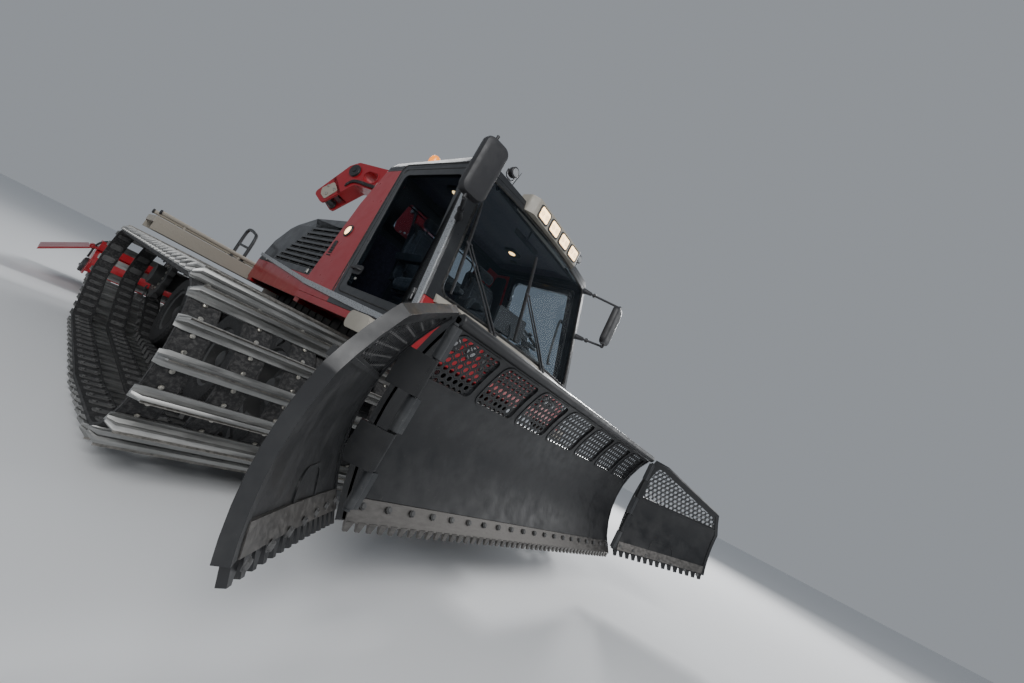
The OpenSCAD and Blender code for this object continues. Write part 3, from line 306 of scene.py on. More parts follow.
class Shape:  # collects closed forms, in machine millimetres
    def __init__(self):
        self.points, self.faces, self.tags = [], [], []

    def add(self, points, faces, tag=0):
        base = len(self.points)
        self.points += [Vector(p) for p in points]
        self.faces += [[base + i for i in f] for f in faces]
        self.tags += [tag] * len(faces)
        return self

    def box(self, x0, x1, y0, y1, z0, z1, tag=0):
        pts = [(x, y, z) for z in (z0, z1) for y in (y0, y1) for x in (x0, x1)]
        return self.add(pts, [(0, 2, 3, 1), (4, 5, 7, 6), (0, 1, 5, 4), (2, 6, 7, 3), (0, 4, 6, 2),
                              (1, 3, 7, 5)], tag)

    def prism(self, outline, axis, a, b, tag=0):  # outline is in the other two axes, in x, y, z order
        n = len(outline)

        def at(p, t):
            q = list(p)
            q.insert(axis, t)
            return q

        area = sum(outline[i][0] * outline[(i + 1) % n][1] - outline[(i + 1) % n][0] * outline[i][1]
                   for i in range(n))
        if (area > 0) == (axis == 1):
            outline = outline[::-1]
        pts = [at(p, a) for p in outline] + [at(p, b) for p in outline]
        sides = [(i, (i + 1) % n, n + (i + 1) % n, n + i) for i in range(n)]
        return self.add(pts, [tuple(range(n))[::-1], tuple(range(n, 2 * n))] + sides, tag)

    def tube(self, path, radius, sides=10, tag=0, closed=False):
        pts = [Vector(p) for p in path]
        n = len(pts)
        radii = radius if isinstance(radius, (list, tuple)) else [radius] * n
        rings, normal = [], None
        for i, p in enumerate(pts):
            back = pts[i - 1] if i or closed else p
            ahead = pts[(i + 1) % n] if i < n - 1 or closed else p
            along = (ahead - back).normalized()
            if normal is None:
                normal = along.orthogonal().normalized()
            normal = (normal - along * normal.dot(along)).normalized()
            side = along.cross(normal)
            rings.append([p + radii[i] * (normal * math.cos(2 * pi * k / sides) + side
                                          * math.sin(2 * pi * k / sides))
                          for k in range(sides)])
        faces = []
        for i in range(n if closed else n - 1):
            j = (i + 1) % n
            faces += [(i * sides + k, i * sides + (k + 1) % sides, j * sides + (k + 1) % sides, j * sides + k)
                      for k in range(sides)]
        if not closed:
            faces += [tuple(range(sides))[::-1], tuple((n - 1) * sides + k for k in range(sides))]
        return self.add([p for ring in rings for p in ring], faces, tag)

    def lathe(self, profile, centre, axis, sides=32, tag=0):  # profile: (radius, distance along axis)
        axis = Vector(axis).normalized()
        u = axis.orthogonal().normalized()
        v = axis.cross(u)
        pts, rows = [], []
        for r, d in profile:
            if r < 1e-6:
                rows.append([len(pts)])
                pts.append(Vector(centre) + axis * d)
            else:
                rows.append(list(range(len(pts), len(pts) + sides)))
                pts += [Vector(centre) + axis * d + r * (u * math.cos(2 * pi * k / sides) + v
                                                         * math.sin(2 * pi * k / sides))
                        for k in range(sides)]
        faces = []
        pairs = list(zip(rows, rows[1:]))
        if profile[0][0] > 1e-6 and profile[-1][0] > 1e-6:
            pairs.append((rows[-1], rows[0]))
        for a, b in pairs:
            for k in range(sides):
                m = (k + 1) % sides
                quad = [a[k % len(a)], a[m % len(a)], b[m % len(b)], b[k % len(b)]]
                face = [q for i, q in enumerate(quad) if q not in quad[:i]]
                if len(face) > 2:
                    faces.append(face)
        return self.add(pts, faces, tag)

    def loft(self, sections, tag=0):
        n = len(sections[0])
        faces = [(i * n + k, i * n + (k + 1) % n, (i + 1) * n + (k + 1) % n, (i + 1) * n + k)
                 for i in range(len(sections) - 1) for k in range(n)]
        last = (len(sections) - 1) * n
        faces += [tuple(range(n))[::-1], tuple(last + k for k in range(n))]
        return self.add([p for s in sections for p in s], faces, tag)

    def turned(self, matrix):
        self.points = [matrix @ p for p in self.points]
        return self

    def join(self, other, matrix=None):
        pts = [matrix @ p for p in other.points] if matrix else other.points
        base = len(self.points)
        self.points += [p.copy() for p in pts]
        self.faces += [[base + i for i in f] for f in other.faces]
        self.tags += other.tags
        return self

    def mirrored(self):
        other = Shape()
        other.points = [Vector((-p.x, p.y, p.z)) for p in self.points]
        other.faces = [f[::-1] for f in self.faces]
        other.tags = list(self.tags)
        return other

    def both(self):
        return self.join(self.mirrored())

    def make(self, name, looks, body, slot, stands=(), bevel=0.0, angle=32):
        obj = blank(name)
        mesh = obj.data
        mesh.from_pydata([place(p) for p in self.points], [], self.faces)
        for look in looks:
            mesh.materials.append(finishes[look])
        mesh.polygons.foreach_set("material_index", self.tags)
        outward(mesh)
        smoothed(mesh, angle)
        if bevel:
            easeEdges(obj, bevel, angle)
        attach(obj, body)
        if stands:
            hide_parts(*stands)
        return obj


def arc(cx, cy, r, a0, a1, n):
    return [(cx + r * math.cos(rad(a0 + (a1 - a0) * i / n)), cy + r * math.sin(rad(a0 + (a1 - a0) * i / n)))
            for i in range(n + 1)]


def rect(x0, x1, y0, y1):
    return [(x0, y0), (x1, y0), (x1, y1), (x0, y1)]


def roundRect(x0, x1, y0, y1, radius, n=5):  # a rectangle with rounded corners
    return rounded(rect(x0, x1, y0, y1), radius, n)


def rounded(pts, radius, n=5):  # a polygon with rounded corners; radius is one number or one for each corner
    out, k = [], len(pts)
    for i, p in enumerate(pts):
        r = radius[i] if isinstance(radius, (list, tuple)) else radius
        p = Vector(p)
        a, b = Vector(pts[i - 1]) - p, Vector(pts[(i + 1) % k]) - p
        if r <= 0:
            out.append(tuple(p))
            continue
        u, v = a.normalized(), b.normalized()
        half = math.acos(max(-1, min(1, u.dot(v)))) / 2
        d = min(r / math.tan(half), a.length * 0.49, b.length * 0.49)
        r = d * math.tan(half)
        c = p + (u + v).normalized() * r / math.sin(half)
        s, e = p + u * d - c, p + v * d - c
        a0, a1 = math.atan2(s.y, s.x), math.atan2(e.y, e.x)
        da = (a1 - a0 + pi) % (2 * pi) - pi
        out += [(c.x + r * math.cos(a0 + da * j / n), c.y + r * math.sin(a0 + da * j / n))
                for j in range(n + 1)]
    return out


def smoothPath(points, count):  # a curve through the points, evenly sampled
    pts = [Vector(p) for p in points]
    ext = [2 * pts[0] - pts[1]] + pts + [2 * pts[-1] - pts[-2]]
    out = []
    per = max(2, count // (len(pts) - 1))
    for i in range(1, len(ext) - 2):
        p0, p1, p2, p3 = ext[i - 1:i + 3]
        for k in range(per):
            t = k / per
            out.append(0.5 * (2 * p1 + (p2 - p0) * t + (2 * p0 - 5 * p1 + 4 * p2 - p3) * t * t
                              + (3 * p1 - p0 - 3 * p2 + p3) * t * t * t))
    return out + [pts[-1]]


# Geometry Nodes: an item set at each point of a carrier, turned to the point's own two axes
def repeatTree(look):
    tree = bpy.data.node_groups.new("repeatAtPoints", "GeometryNodeTree")
    face = tree.interface
    face.new_socket("Points", in_out="INPUT", socket_type="NodeSocketGeometry")
    face.new_socket("Item", in_out="INPUT", socket_type="NodeSocketObject")
    face.new_socket("Size", in_out="INPUT", socket_type="NodeSocketFloat").default_value = 1.0
    face.new_socket("Spread", in_out="INPUT", socket_type="NodeSocketFloat").default_value = 0.0
    face.new_socket("Seed", in_out="INPUT", socket_type="NodeSocketInt").default_value = 1
    face.new_socket("Result", in_out="OUTPUT", socket_type="NodeSocketGeometry")
    nodes, links = tree.nodes, tree.links

    def add(kind, **settings):
        n = nodes.new(kind)
        for key, value in settings.items():
            setattr(n, key, value)
        return n

    start, end = add("NodeGroupInput"), add("NodeGroupOutput")
    item = add("GeometryNodeObjectInfo", transform_space="ORIGINAL")
    links.new(start.outputs["Item"], item.inputs[0])
    along = add("GeometryNodeInputNamedAttribute", data_type="FLOAT_VECTOR")
    along.inputs[0].default_value = "along"
    up = add("GeometryNodeInputNamedAttribute", data_type="FLOAT_VECTOR")
    up.inputs[0].default_value = "up"
    first = add("FunctionNodeAlignRotationToVector", axis="X")
    second = add("FunctionNodeAlignRotationToVector", axis="Z", pivot_axis="X")
    links.new(along.outputs[0], first.inputs["Vector"])
    links.new(first.outputs[0], second.inputs["Rotation"])
    links.new(up.outputs[0], second.inputs["Vector"])
    vary = add("FunctionNodeRandomValue", data_type="FLOAT")
    links.new(start.outputs["Seed"], vary.inputs["Seed"])
    low = add("ShaderNodeMath", operation="SUBTRACT")
    links.new(start.outputs["Size"], low.inputs[0])
    links.new(start.outputs["Spread"], low.inputs[1])
    links.new(low.outputs[0], vary.inputs[2])
    links.new(start.outputs["Size"], vary.inputs[3])
    spots = add("GeometryNodeInstanceOnPoints")
    links.new(start.outputs["Points"], spots.inputs["Points"])
    links.new(item.outputs["Geometry"], spots.inputs["Instance"])
    links.new(second.outputs[0], spots.inputs["Rotation"])
    links.new(vary.outputs[1], spots.inputs["Scale"])
    real = add("GeometryNodeRealizeInstances")
    paint = add("GeometryNodeSetMaterial")
    paint.inputs["Material"].default_value = look
    links.new(spots.outputs[0], real.inputs[0])
    links.new(real.outputs[0], paint.inputs["Geometry"])
    links.new(paint.outputs[0], end.inputs[0])
    return tree


repeatTrees = {}


def repeat(name, item, spots, look, body, size=1.0, spread=0.0, seed=1, angle=32):
    # item: a Shape about the origin, x along and z up; spots: (point, along, up) in machine millimetres
    if look not in repeatTrees:
        repeatTrees[look] = repeatTree(finishes[look])
    source, carrier = blank(name + "Item"), blank(name + "Spots")
    source.data.from_pydata([p / 1000 for p in item.points], [], item.faces)
    outward(source.data)
    smoothed(source.data, angle)
    carrier.data.from_pydata([place(spot[0]) for spot in spots], [], [])
    for key, index in (("along", 1), ("up", 2)):
        layer = carrier.data.attributes.new(key, "FLOAT_VECTOR", "POINT")
        layer.data.foreach_set("vector", [c for spot in spots for c in Vector(spot[index]).normalized()])
    grow = carrier.modifiers.new("repeat", "NODES")
    grow.node_group = repeatTrees[look]
    sockets = {i.name: i.identifier for i in grow.node_group.interface.items_tree if i.in_out == "INPUT"}
    grow[sockets["Item"]], grow[sockets["Size"]] = source, size
    grow[sockets["Spread"]], grow[sockets["Seed"]] = spread, seed
    graph = bpy.context.evaluated_depsgraph_get()
    mesh = bpy.data.meshes.new_from_object(carrier.evaluated_get(graph), depsgraph=graph)
    for layer in [a for a in mesh.attributes if a.name in ("along", "up")]:
        mesh.attributes.remove(layer)
    obj = bpy.data.objects.new(name, mesh)
    bpy.context.scene.collection.objects.link(obj)
    for helper in (source, carrier):
        bpy.data.objects.remove(helper)
    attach(obj, body)
    return obj


def boltHead(size):  # hexagon head on a washer, standing on the xy plane
    s = Shape()
    s.lathe([(0, -1), (size * 1.25, -1), (size * 1.25, size * 0.16), (size, size * 0.16), (0, size * 0.16)],
            (0, 0, 0), (0, 0, 1), 12)
    top = size * 0.75
    s.lathe([(0, 0), (size, 0), (size, top * 0.85), (size * 0.86, top), (0, top)], (0, 0, 0), (0, 0, 1), 6)
    return s


def paintNode(node, look):
    obj = frame["nodes"][node]
    obj.data.materials.clear()
    obj.data.materials.append(finishes[look])


# studio: pale floor and soft lights
studio = {"floor": (0.78, 0.79, 0.8), "key": 1000, "fill": 250, "sun": 1500, "rim": 300, "world": 0.34}


def makeStudio():
    f = Finish("paleFloor", studio["floor"], 0.85, specular=0.2)
    f.bump(f.noise(3.0, 3.0), 0.02, 0.002)
    floor = blank("floor")
    floor.data.from_pydata([(-60, -60, 0), (60, -60, 0), (60, 60, 0), (-60, 60, 0)], [], [(0, 1, 2, 3)])
    floor.data.materials.append(f.material)
    for name, at, aim, size, power in (
            ("keyLight", (-7.5, -9.5, 7.5), (0, -0.5, 1.2), 6.0, studio["key"]),
            ("fillLight", (9.0, -7.0, 5.0), (0, -0.5, 1.2), 7.0, studio["fill"]),
            ("sunLight", (12.0, 1.4, 7.4), (0, -0.5, 1.2), 2.5, studio["sun"]),
            ("rimLight", (3.5, 9.0, 8.5), (0, 0, 1.5), 6.0, studio["rim"])):
        data = bpy.data.lights.new(name, "AREA")
        data.energy, data.size = power, size
        light = bpy.data.objects.new(name, data)
        bpy.context.scene.collection.objects.link(light)
        light.location = at
        light.rotation_mode = "QUATERNION"
        light.rotation_quaternion = (Vector(aim) - Vector(at)).to_track_quat("-Z", "Y")
    world = bpy.data.worlds.new("studioAir")
    world.use_nodes = True
    world.node_tree.nodes["Background"].inputs[0].default_value = (0.86, 0.92, 1.0, 1)
    world.node_tree.nodes["Background"].inputs[1].default_value = studio["world"]
    bpy.context.scene.world = world


makeStudio()

nodeBody = {n: b for b, ns in frame["record"]["behaviour"]["bodies"].items() for n in ns}


def dressed(node, look, bevel, angle=30):  # a welded copy of a CAD node with eased edges
    obj = blank(node + "Dressed")
    work = bmesh.new()
    work.from_mesh(frame["nodes"][node].data)
    bmesh.ops.remove_doubles(work, verts=work.verts, dist=2e-5)
    bmesh.ops.dissolve_limit(work, angle_limit=rad(0.6), verts=work.verts, edges=work.edges)
    work.to_mesh(obj.data)
    work.free()
    obj.data.materials.append(finishes[look])
    smoothed(obj.data, angle)
    easeEdges(obj, bevel, angle).use_clamp_overlap = False
    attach(obj, nodeBody[node])
    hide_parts(node)
    return obj


# tracks, wheels and sprockets
track = {"inner": 640, "width": 1490, "belt": 20, "bar": 75, "bars": 60,
         "belts": (15, 265, 515, 835, 1085, 1335),
         "beltWidth": 140, "circles": ((-1545, 560, 380), (-600, 475, 380), (1240, 475, 380),
                                       (2100, 680, 270))}


def trackStretches():
    rings = track["circles"]
    n = len(rings)

    def lean(i):
        a, b = rings[i % n], rings[(i + 1) % n]
        run = math.hypot(b[0] - a[0], b[1] - a[1])
        return math.degrees(math.atan2(b[1] - a[1], b[0] - a[0]) + math.asin((a[2] - b[2]) / run)) - 90

    out = []
    for i in range(n):
        c, d = rings[i], rings[(i + 1) % n]
        a0, a1 = lean(i + n - 1), lean(i)
        sweep = (a1 - a0) % 360
        p = (c[0] + c[2] * math.cos(rad(a1)), c[1] + c[2] * math.sin(rad(a1)))
        q = (d[0] + d[2] * math.cos(rad(a1)), d[1] + d[2] * math.sin(rad(a1)))
        out.append(("arc", c, a0, sweep, c[2] * rad(sweep)))
        out.append(("line", (p, q), a1, 0, math.dist(p, q)))
    return out


trackRuns = trackStretches()
trackLength = sum(run[4] for run in trackRuns)


def trackAt(s, lift):  # the point at a distance along the inner path, raised outwards, and its outward normal
    for kind, what, a, sweep, length in trackRuns:
        if s <= length:
            break
        s -= length
    if kind == "arc":
        a += sweep * s / length
        y, z = what[0] + what[2] * math.cos(rad(a)), what[1] + what[2] * math.sin(rad(a))
    else:
        (y0, z0), (y1, z1) = what
        y, z = y0 + (y1 - y0) * s / length, z0 + (z1 - z0) * s / length
    normal = (math.cos(rad(a)), math.sin(rad(a)))
    return (y + lift * normal[0], z + lift * normal[1]), normal


def trackLoop(lift, step=11):
    marks, start = [], 0.0
    for kind, what, a, sweep, length in trackRuns:
        pieces = max(1, round(sweep / step)) if kind == "arc" else 1
        marks += [start + length * i / pieces for i in range(pieces)]
        start += length
    return [trackAt(s, lift)[0] for s in marks]


# two loops of as many (y, z) points, closed from x = a to x = b
def ringPrism(shape, outer, inner, a, b, tag=0):
    n = len(outer)
    pts = [(x, y, z) for x in (a, b) for loop in (outer, inner) for y, z in loop]
    faces = []
    for i in range(n):
        j = (i + 1) % n
        faces += [(i, j, n + j, n + i), (2 * n + i, 3 * n + i, 3 * n + j, 2 * n + j),
                  (i, 2 * n + i, 2 * n + j, j), (n + i, n + j, 3 * n + j, 3 * n + i)]
    return shape.add(pts, faces, tag)


def crossbarItem():
    half = [(36, 0), (36, 7), (15, 12), (9, 30), (14, 37), (14, 48), (8, 55), (4, 64)]
    outline = half + [(-y, z) for y, z in half[::-1]]
    end = track["width"] / 2 - 2
    sections = [[(x, y * (0.8 if low else 1), z * (0.5 if low else 1)) for y, z in outline]
                for x, low in ((-end, True), (-end + 34, False), (end - 34, False), (end, True))]
    return Shape().loft(sections)


def barEdgeItem():
    end = track["width"] / 2 - 36
    return Shape().prism([(-4.5, 58), (4.5, 58), (2.2, track["bar"]), (-2.2, track["bar"])], 0, -end, end)


def clampItem():
    s = Shape().prism(roundRect(-52, 52, -30, 30, 12, 1), 2, -1, 6)
    for x in (-32, 32):
        s.lathe(rect(0, 11, 5, 13), (x, 0, 0), (0, 0, 1), 6)
    return s


def hornItem():
    return Shape().prism([(-22, 0), (22, 0), (9, 58), (-9, 58)], 0, -7, 7)


def makeTrack(side, node):
    belts = Shape()
    outer, inner = trackLoop(track["belt"]), trackLoop(0.6)
    spots = [trackAt((i + 0.5) * trackLength / track["bars"], track["belt"]) for i in range(track["bars"])]
    bars, clamps, plates, horns = [], [], [], []
    for (y, z), (ny, nz) in spots:
        bars.append(((side * (track["inner"] + track["width"] / 2), y, z), (side, 0, 0), (0, ny, nz)))
        for start in track["belts"]:
            x = side * (track["inner"] + start + track["beltWidth"] / 2)
            for push in (-1, 1):  # clamps stand beside the bar's foot
                clamps.append(((x, y - push * 44 * nz, z + push * 44 * ny), (0, -nz, ny), (0, ny, nz)))
            plates.append(((x, y - 21.5 * ny, z - 21.5 * nz), (side, 0, 0), (0, -ny, -nz)))
        for x in (1118, 1652):
            horns.append(((side * x, y - 20 * ny, z - 20 * nz), (side, 0, 0), (0, -ny, -nz)))
    for start in track["belts"]:
        a = track["inner"] + start
        ringPrism(belts, outer, inner, side * a, side * (a + track["beltWidth"]))
        for x in (a + 4, a + track["beltWidth"] - 10):  # raised edge strips of the belt
            ringPrism(belts, trackLoop(track["belt"] + 3), trackLoop(track["belt"] - 2), side * x,
                      side * (x + 6))
    belts.make(node + "Belts", ["belt"], "machine", "track_rubber", stands=(node,), angle=40)
    repeat(node + "Crossbars", crossbarItem(), bars, "alloy", "machine")
    repeat(node + "BarEdges", barEdgeItem(), bars, "tine", "machine")
    repeat(node + "BeltClamps", boltHead(9), clamps, "zinc", "machine")
    repeat(node + "BackPlates", clampItem(), plates, "cast", "machine")
    repeat(node + "Horns", hornItem(), horns, "cast", "machine")


wheel = {"radius": 380, "half": 163, "rim": 214, "hub": 92, "bolts": 8, "boltRow": 132,
         "centre": 1385, "boltFace": 1396, "axles": ((-1545, 560), (-600, 475), (320, 475), (1240, 475))}
sprocket = {"face": 1615, "y": 2100, "z": 680, "bolts": 12, "boltRow": 150}


def makeWheels(side, node):
    s, bolts = Shape(), []
    r, half, rim = wheel["radius"], wheel["half"], wheel["rim"]
    tread = []
    for x in (-96, -48, 0, 48, 96):  # ribs between round grooves
        tread += [(r, x - 18), (r, x + 18), (r - 9, x + 21), (r - 9, x + 27)]
    tyre = [(rim, -118), (236, -150), (300, -half), (350, -half + 6), (r - 6, -134)] + tread[:-2]
    tyre += [(r - 6, 134), (350, half - 6), (300, half), (236, 150), (rim, 118)]
    disc = [(60, -70), (wheel["hub"], -70), (wheel["hub"] + 4, -30), (185, -8), (196, -60), (202, -126),
            (224, -134),
            (224, -126), (rim - 2, -116), (rim - 2, 116), (224, 126), (224, 134), (202, 126), (196, 30),
            (185, 14), (wheel["hub"] + 4, 8), (wheel["hub"], 70), (60, 70)]
    cap = [(0, 118), (38, 116), (62, 104), (72, 84), (72, 66), (0, 66)]
    for y, z in wheel["axles"]:
        centre = (side * wheel["centre"], y, z)
        s.lathe(tyre, centre, (side, 0, 0), 48, 0)
        s.lathe(disc, centre, (side, 0, 0), 40, 1)
        s.lathe(cap, centre, (side, 0, 0), 28, 1)
        for k in range(wheel["bolts"]):
            a = 2 * pi * k / wheel["bolts"]
            spot = (side * wheel["boltFace"], y + wheel["boltRow"] * math.cos(a),
                    z + wheel["boltRow"] * math.sin(a))
            bolts.append((spot, (0, math.cos(a), math.sin(a)), (side, 0, 0)))
    s.make(node + "Tyred", ["tyre", "cast"], "machine", "wheel_tyre", stands=(node,), angle=28)
    repeat(node + "Bolts", boltHead(15), bolts, "zinc", "machine")


for side, word in ((1, "left"), (-1, "right")):
    makeTrack(side, "track_" + word)
    makeWheels(side, "wheels_" + word)
    dressed("sprocket_" + word, "cast", 3)
    spots = []
    for k in range(sprocket["bolts"]):
        a = 2 * pi * k / sprocket["bolts"]
        out = (math.cos(a), math.sin(a))
        spot = (side * sprocket["face"], *(sprocket[key] + sprocket["boltRow"] * part for key,
                                           part in zip("yz", out)))
        spots.append((spot, (0, *out), (side, 0, 0)))
    repeat("sprocketBolts_" + word, boltHead(14), spots, "zinc", "machine")
print("tracks and wheels made")


# front blade and its wings, drawn in the blade's own frame: y back from the chord, z up from the edge
blade = {"half": 1445, "height": 940, "sag": 150, "thick": 20, "edgeY": -2680, "low": 375, "lean": 3,
         "toothPitch": 60,
         "tooth": 40, "ribs": (220, 615, 1010, 1405), "guard": (650, 890), "hole": 15, "holePitch": 44,
         "teeth": 48, "teethPitch": 60.2, "bolts": 20, "boltsWide": 2760}
wing = {"axis": (1475, -12), "rest": 50, "in": 1505, "out": 2402, "tip": 225, "rimDepth": 28}
mouldR = (blade["height"] ** 2 / 4 + blade["sag"] ** 2) / (2 * blade["sag"])
mouldY, mouldZ = blade["sag"] - mouldR, blade["height"] / 2
bladeMatrix = Matrix.Translation((0, blade["edgeY"],
                                  blade["low"])) @ Matrix.Rotation(rad(blade["lean"]), 4, "X")
wingAxis = Vector((*wing["axis"], 0))
wingMatrix = (bladeMatrix @ Matrix.Translation(wingAxis) @ Matrix.Rotation(rad(-wing["rest"]), 4, "Z")
              @ Matrix.Translation(-wingAxis))


def mouldPoint(z, d):
    a = math.asin(max(-1, min(1, (z - mouldZ) / mouldR)))
    return mouldY + (mouldR + d) * math.cos(a), mouldZ + (mouldR + d) * math.sin(a)


def bandOutline(d0, d1, z0, z1, n=8):
    up = [mouldPoint(z0 + (z1 - z0) * i / n, d0) for i in range(n + 1)]
    return up + [mouldPoint(z1 + (z0 - z1) * i / n, d1) for i in range(n + 1)]


# a flat sheet between an outline and its holes; at(a, b) places a corner
def filledSheet(outline, holes, at):
    work = bmesh.new()
    for loop in (outline, *holes):
        verts = [work.verts.new(at(a, b)) for a, b in loop]
        for i, v in enumerate(verts):
            work.edges.new((verts[i - 1], v))
    bmesh.ops.triangle_fill(work, use_beauty=True, use_dissolve=False, edges=work.edges[:])
    return work


def thickSheet(shape, work, at, tag):  # the sheet's two faces and its walls; at(corner, side) places a point
    work.verts.index_update()
    n = len(work.verts)
    pts = [at(v.co, side) for side in (0, 1) for v in work.verts]
    faces = [[v.index for v in f.verts] for f in work.faces]
    faces += [[n + i for i in f[::-1]] for f in faces]
    faces += [[e.verts[0].index, e.verts[1].index, n + e.verts[1].index, n + e.verts[0].index]
              for e in work.edges if len(e.link_faces) == 1]
    work.free()
    return shape.add(pts, faces, tag)


# an (x, z) outline bent to the mouldboard's arc
def curvedSheet(shape, outline, d0, d1, holes=(), step=55, tag=0):
    work = filledSheet(outline, holes, lambda x, z: (x, 0, z))
    low, high = min(z for x, z in outline), max(z for x, z in outline)
    cuts = max(1, round((high - low) / step))
    for i in range(1, cuts):
        everything = work.verts[:] + work.edges[:] + work.faces[:]
        bmesh.ops.bisect_plane(work, geom=everything, plane_co=(0, 0, low + (high - low) * i / cuts),
                               plane_no=(0, 0, 1))
    return thickSheet(shape, work, lambda p, side: (p.x, *mouldPoint(p.z, (d0, d1)[side])), tag)


def teethLine(p, q):
    p, q = Vector(p), Vector(q)
    n = round((q - p).length / blade["toothPitch"])
    u, d = (q - p) / n, (q - p).normalized()
    m = Vector((d.y, -d.x)) * blade["tooth"]
    return [tuple(p + u * i + u * s + m * drop) for i in range(n) for s,
            drop in ((0, 0), (0.15, 1), (0.5, 1), (0.65, 0))]


def inside(p, poly):
    hit = False
    for i, (x0, z0) in enumerate(poly):
        x1, z1 = poly[i - 1]
        if (z0 > p[1]) != (z1 > p[1]) and p[0] < (x1 - x0) * (p[1] - z0) / (z1 - z0) + x0:
            hit = not hit
    return hit


def holeCell():  # a hexagon of sheet with a round hole; neighbours close up into a perforated plate
    p, r = blade["holePitch"], blade["hole"]
    corner = p / math.sqrt(3)
    outer = []
    for k in range(6):
        a, b = rad(30 + 60 * k), rad(60 + 60 * k)
        outer += [(corner * math.cos(a), corner * math.sin(a)), (p / 2 * math.cos(b), p / 2 * math.sin(b))]
    inner = [(r * math.cos(rad(30 + 30 * k)), r * math.sin(rad(30 + 30 * k))) for k in range(12)]
    pts = [(x, y, z) for z in (-3, 3) for loop in (outer, inner) for x, y in loop]
    faces = []
    for i in range(12):
        j = (i + 1) % 12
        faces += [(i, j, 12 + j, 12 + i), (24 + i, 36 + i, 36 + j, 24 + j), (i, 24 + i, 24 + j, j),
                  (12 + i, 12 + j, 36 + j, 36 + i)]
    return Shape().add(pts, faces)


def perforated(name, outlines, body, matrix, mirror=1):
    p = blade["holePitch"]
    turn = matrix.to_3x3()
    spots = []
    for poly in outlines:
        xs, zs = [q[0] for q in poly], [q[1] for q in poly]
        centre = (sum(xs) / len(xs), sum(zs) / len(zs))
        wide = [(centre[0] + (x - centre[0]) * (1 + 9 / max(30, abs(x - centre[0]))),
                 centre[1] + (z - centre[1]) * (1 + 9 / max(30, abs(z - centre[1])))) for x, z in poly]
        row, z = 0, min(zs)
        while z < max(zs) + p / 2:
            x = min(xs) - p + (row % 2) * p / 2
            while x < max(xs) + p:
                if inside((x, z), wide):
                    y, zz = mouldPoint(z, 10)
                    a = math.asin((z - mouldZ) / mouldR)
                    at = matrix @ Vector((x, y, zz))
                    up = turn @ Vector((0, math.cos(a), math.sin(a)))
                    along = turn @ Vector((1, 0, 0))
                    spots.append((Vector((at.x * mirror, at.y, at.z)),
                                  Vector((along.x * mirror, along.y, along.z)),
                                  Vector((up.x * mirror, up.y, up.z))))
                x += p
            row, z = row + 1, z + p * 0.866
    return repeat(name, holeCell(), spots, "blade", body, angle=20)


def makeBlade():
    s = Shape()
    half, top, ribs, (g0, g1) = blade["half"], blade["height"], blade["ribs"], blade["guard"]
    spans = [(-ribs[0] + 32, ribs[0] - 32)]
    for i in range(3):
        spans += [(ribs[i] + 32, ribs[i + 1] - 32), (-ribs[i + 1] + 32, -ribs[i] - 32)]
    windows = [roundRect(a, b, g0, g1, 34) for a, b in spans]
    sheet = rect(-half, half, 0, top)
    curvedSheet(s, sheet, 0, blade["thick"], windows)
    for a, b in spans:  # a raised frame round each window
        outer = roundRect(a - 12, b + 12, g0 - 12, g1 + 12, 44)
        inner = roundRect(a, b, g0, g1, 34)
        curvedSheet(s, outer, -5, 3, [inner])
    s.tube([(x, 10, top) for x in (-half, -half + 6, half - 6, half)], [28, 32, 32, 28], 24)
    for x in ribs:
        for sign in (-1, 1):
            rib = [mouldPoint(20 + 900 * i / 8, 18) for i in range(9)]
            rib += [(70, 900), (225, 500), (225, 270), (60, 60)]
            s.prism(rib, 0, sign * x - 12, sign * x + 12)
            s.prism([mouldPoint(z, 21) for z in (120, 240, 330)] + [(146, 330), (120, 120)], 0, sign * x - 30,
                    sign * x - 24)
    s.prism(roundRect(150, 225, 330, 460, 14, 3), 0, -half + 40, half - 40)
    for sign in (-1, 1):
        s.prism(bandOutline(-2, 65, 4, 936), 0, sign * (half - 22), sign * half)
    plate = [mouldPoint(15 + 210 * i / 4, 18) for i in range(5)] + [(225, 225), (225, 15)]
    for a, b in ((-170, -60), (60, 170)):
        s.prism(plate, 0, a, b)
    y0, z1 = mouldPoint(80, -10)[0], 80  # wear edge along the foot
    s.prism([(-14, -3), (12, 0), (y0 + 18, z1), (y0, z1)], 0, -half, half, 1)
    s.turned(bladeMatrix)
    obj = s.make("bladeMouldboard", ["blade", "wear"], "mouldboard", "dark_steel", bevel=2.5)
    tooth = Shape().add([(0, -14, 2), (39, -14, 2), (39, 12, 2), (0, 12, 2), (9, -14, -40), (30, -14, -40),
                         (30, -3, -40), (9, -3, -40)],
                        [(0, 3, 2, 1), (4, 5, 6, 7), (0, 1, 5, 4), (1, 2, 6, 5), (2, 3, 7, 6), (3, 0, 4, 7)])
    turn = bladeMatrix.to_3x3()
    teeth = []
    for i in range(blade["teeth"]):
        at = bladeMatrix @ Vector((-half + blade["teethPitch"] * i, 0, 0))
        teeth.append((at, (1, 0, 0), turn @ Vector((0, 0, 1))))
    repeat("bladeTeeth", tooth, teeth, "wear", "mouldboard")
    bolts = []
    for i in range(blade["bolts"]):
        y, z = mouldPoint(52, -11)
        x = i * blade["boltsWide"] / (blade["bolts"] - 1) - blade["boltsWide"] / 2
        bolts.append((bladeMatrix @ Vector((x, y - 4, z)), (1, 0, 0), turn @ Vector((0, -0.86, 0.5))))
    repeat("bladeBolts", boltHead(13), bolts, "cast", "mouldboard")
    perforated("bladeGuards", [rect(a, b, g0, g1) for a, b in spans], "mouldboard", bladeMatrix)
    return obj


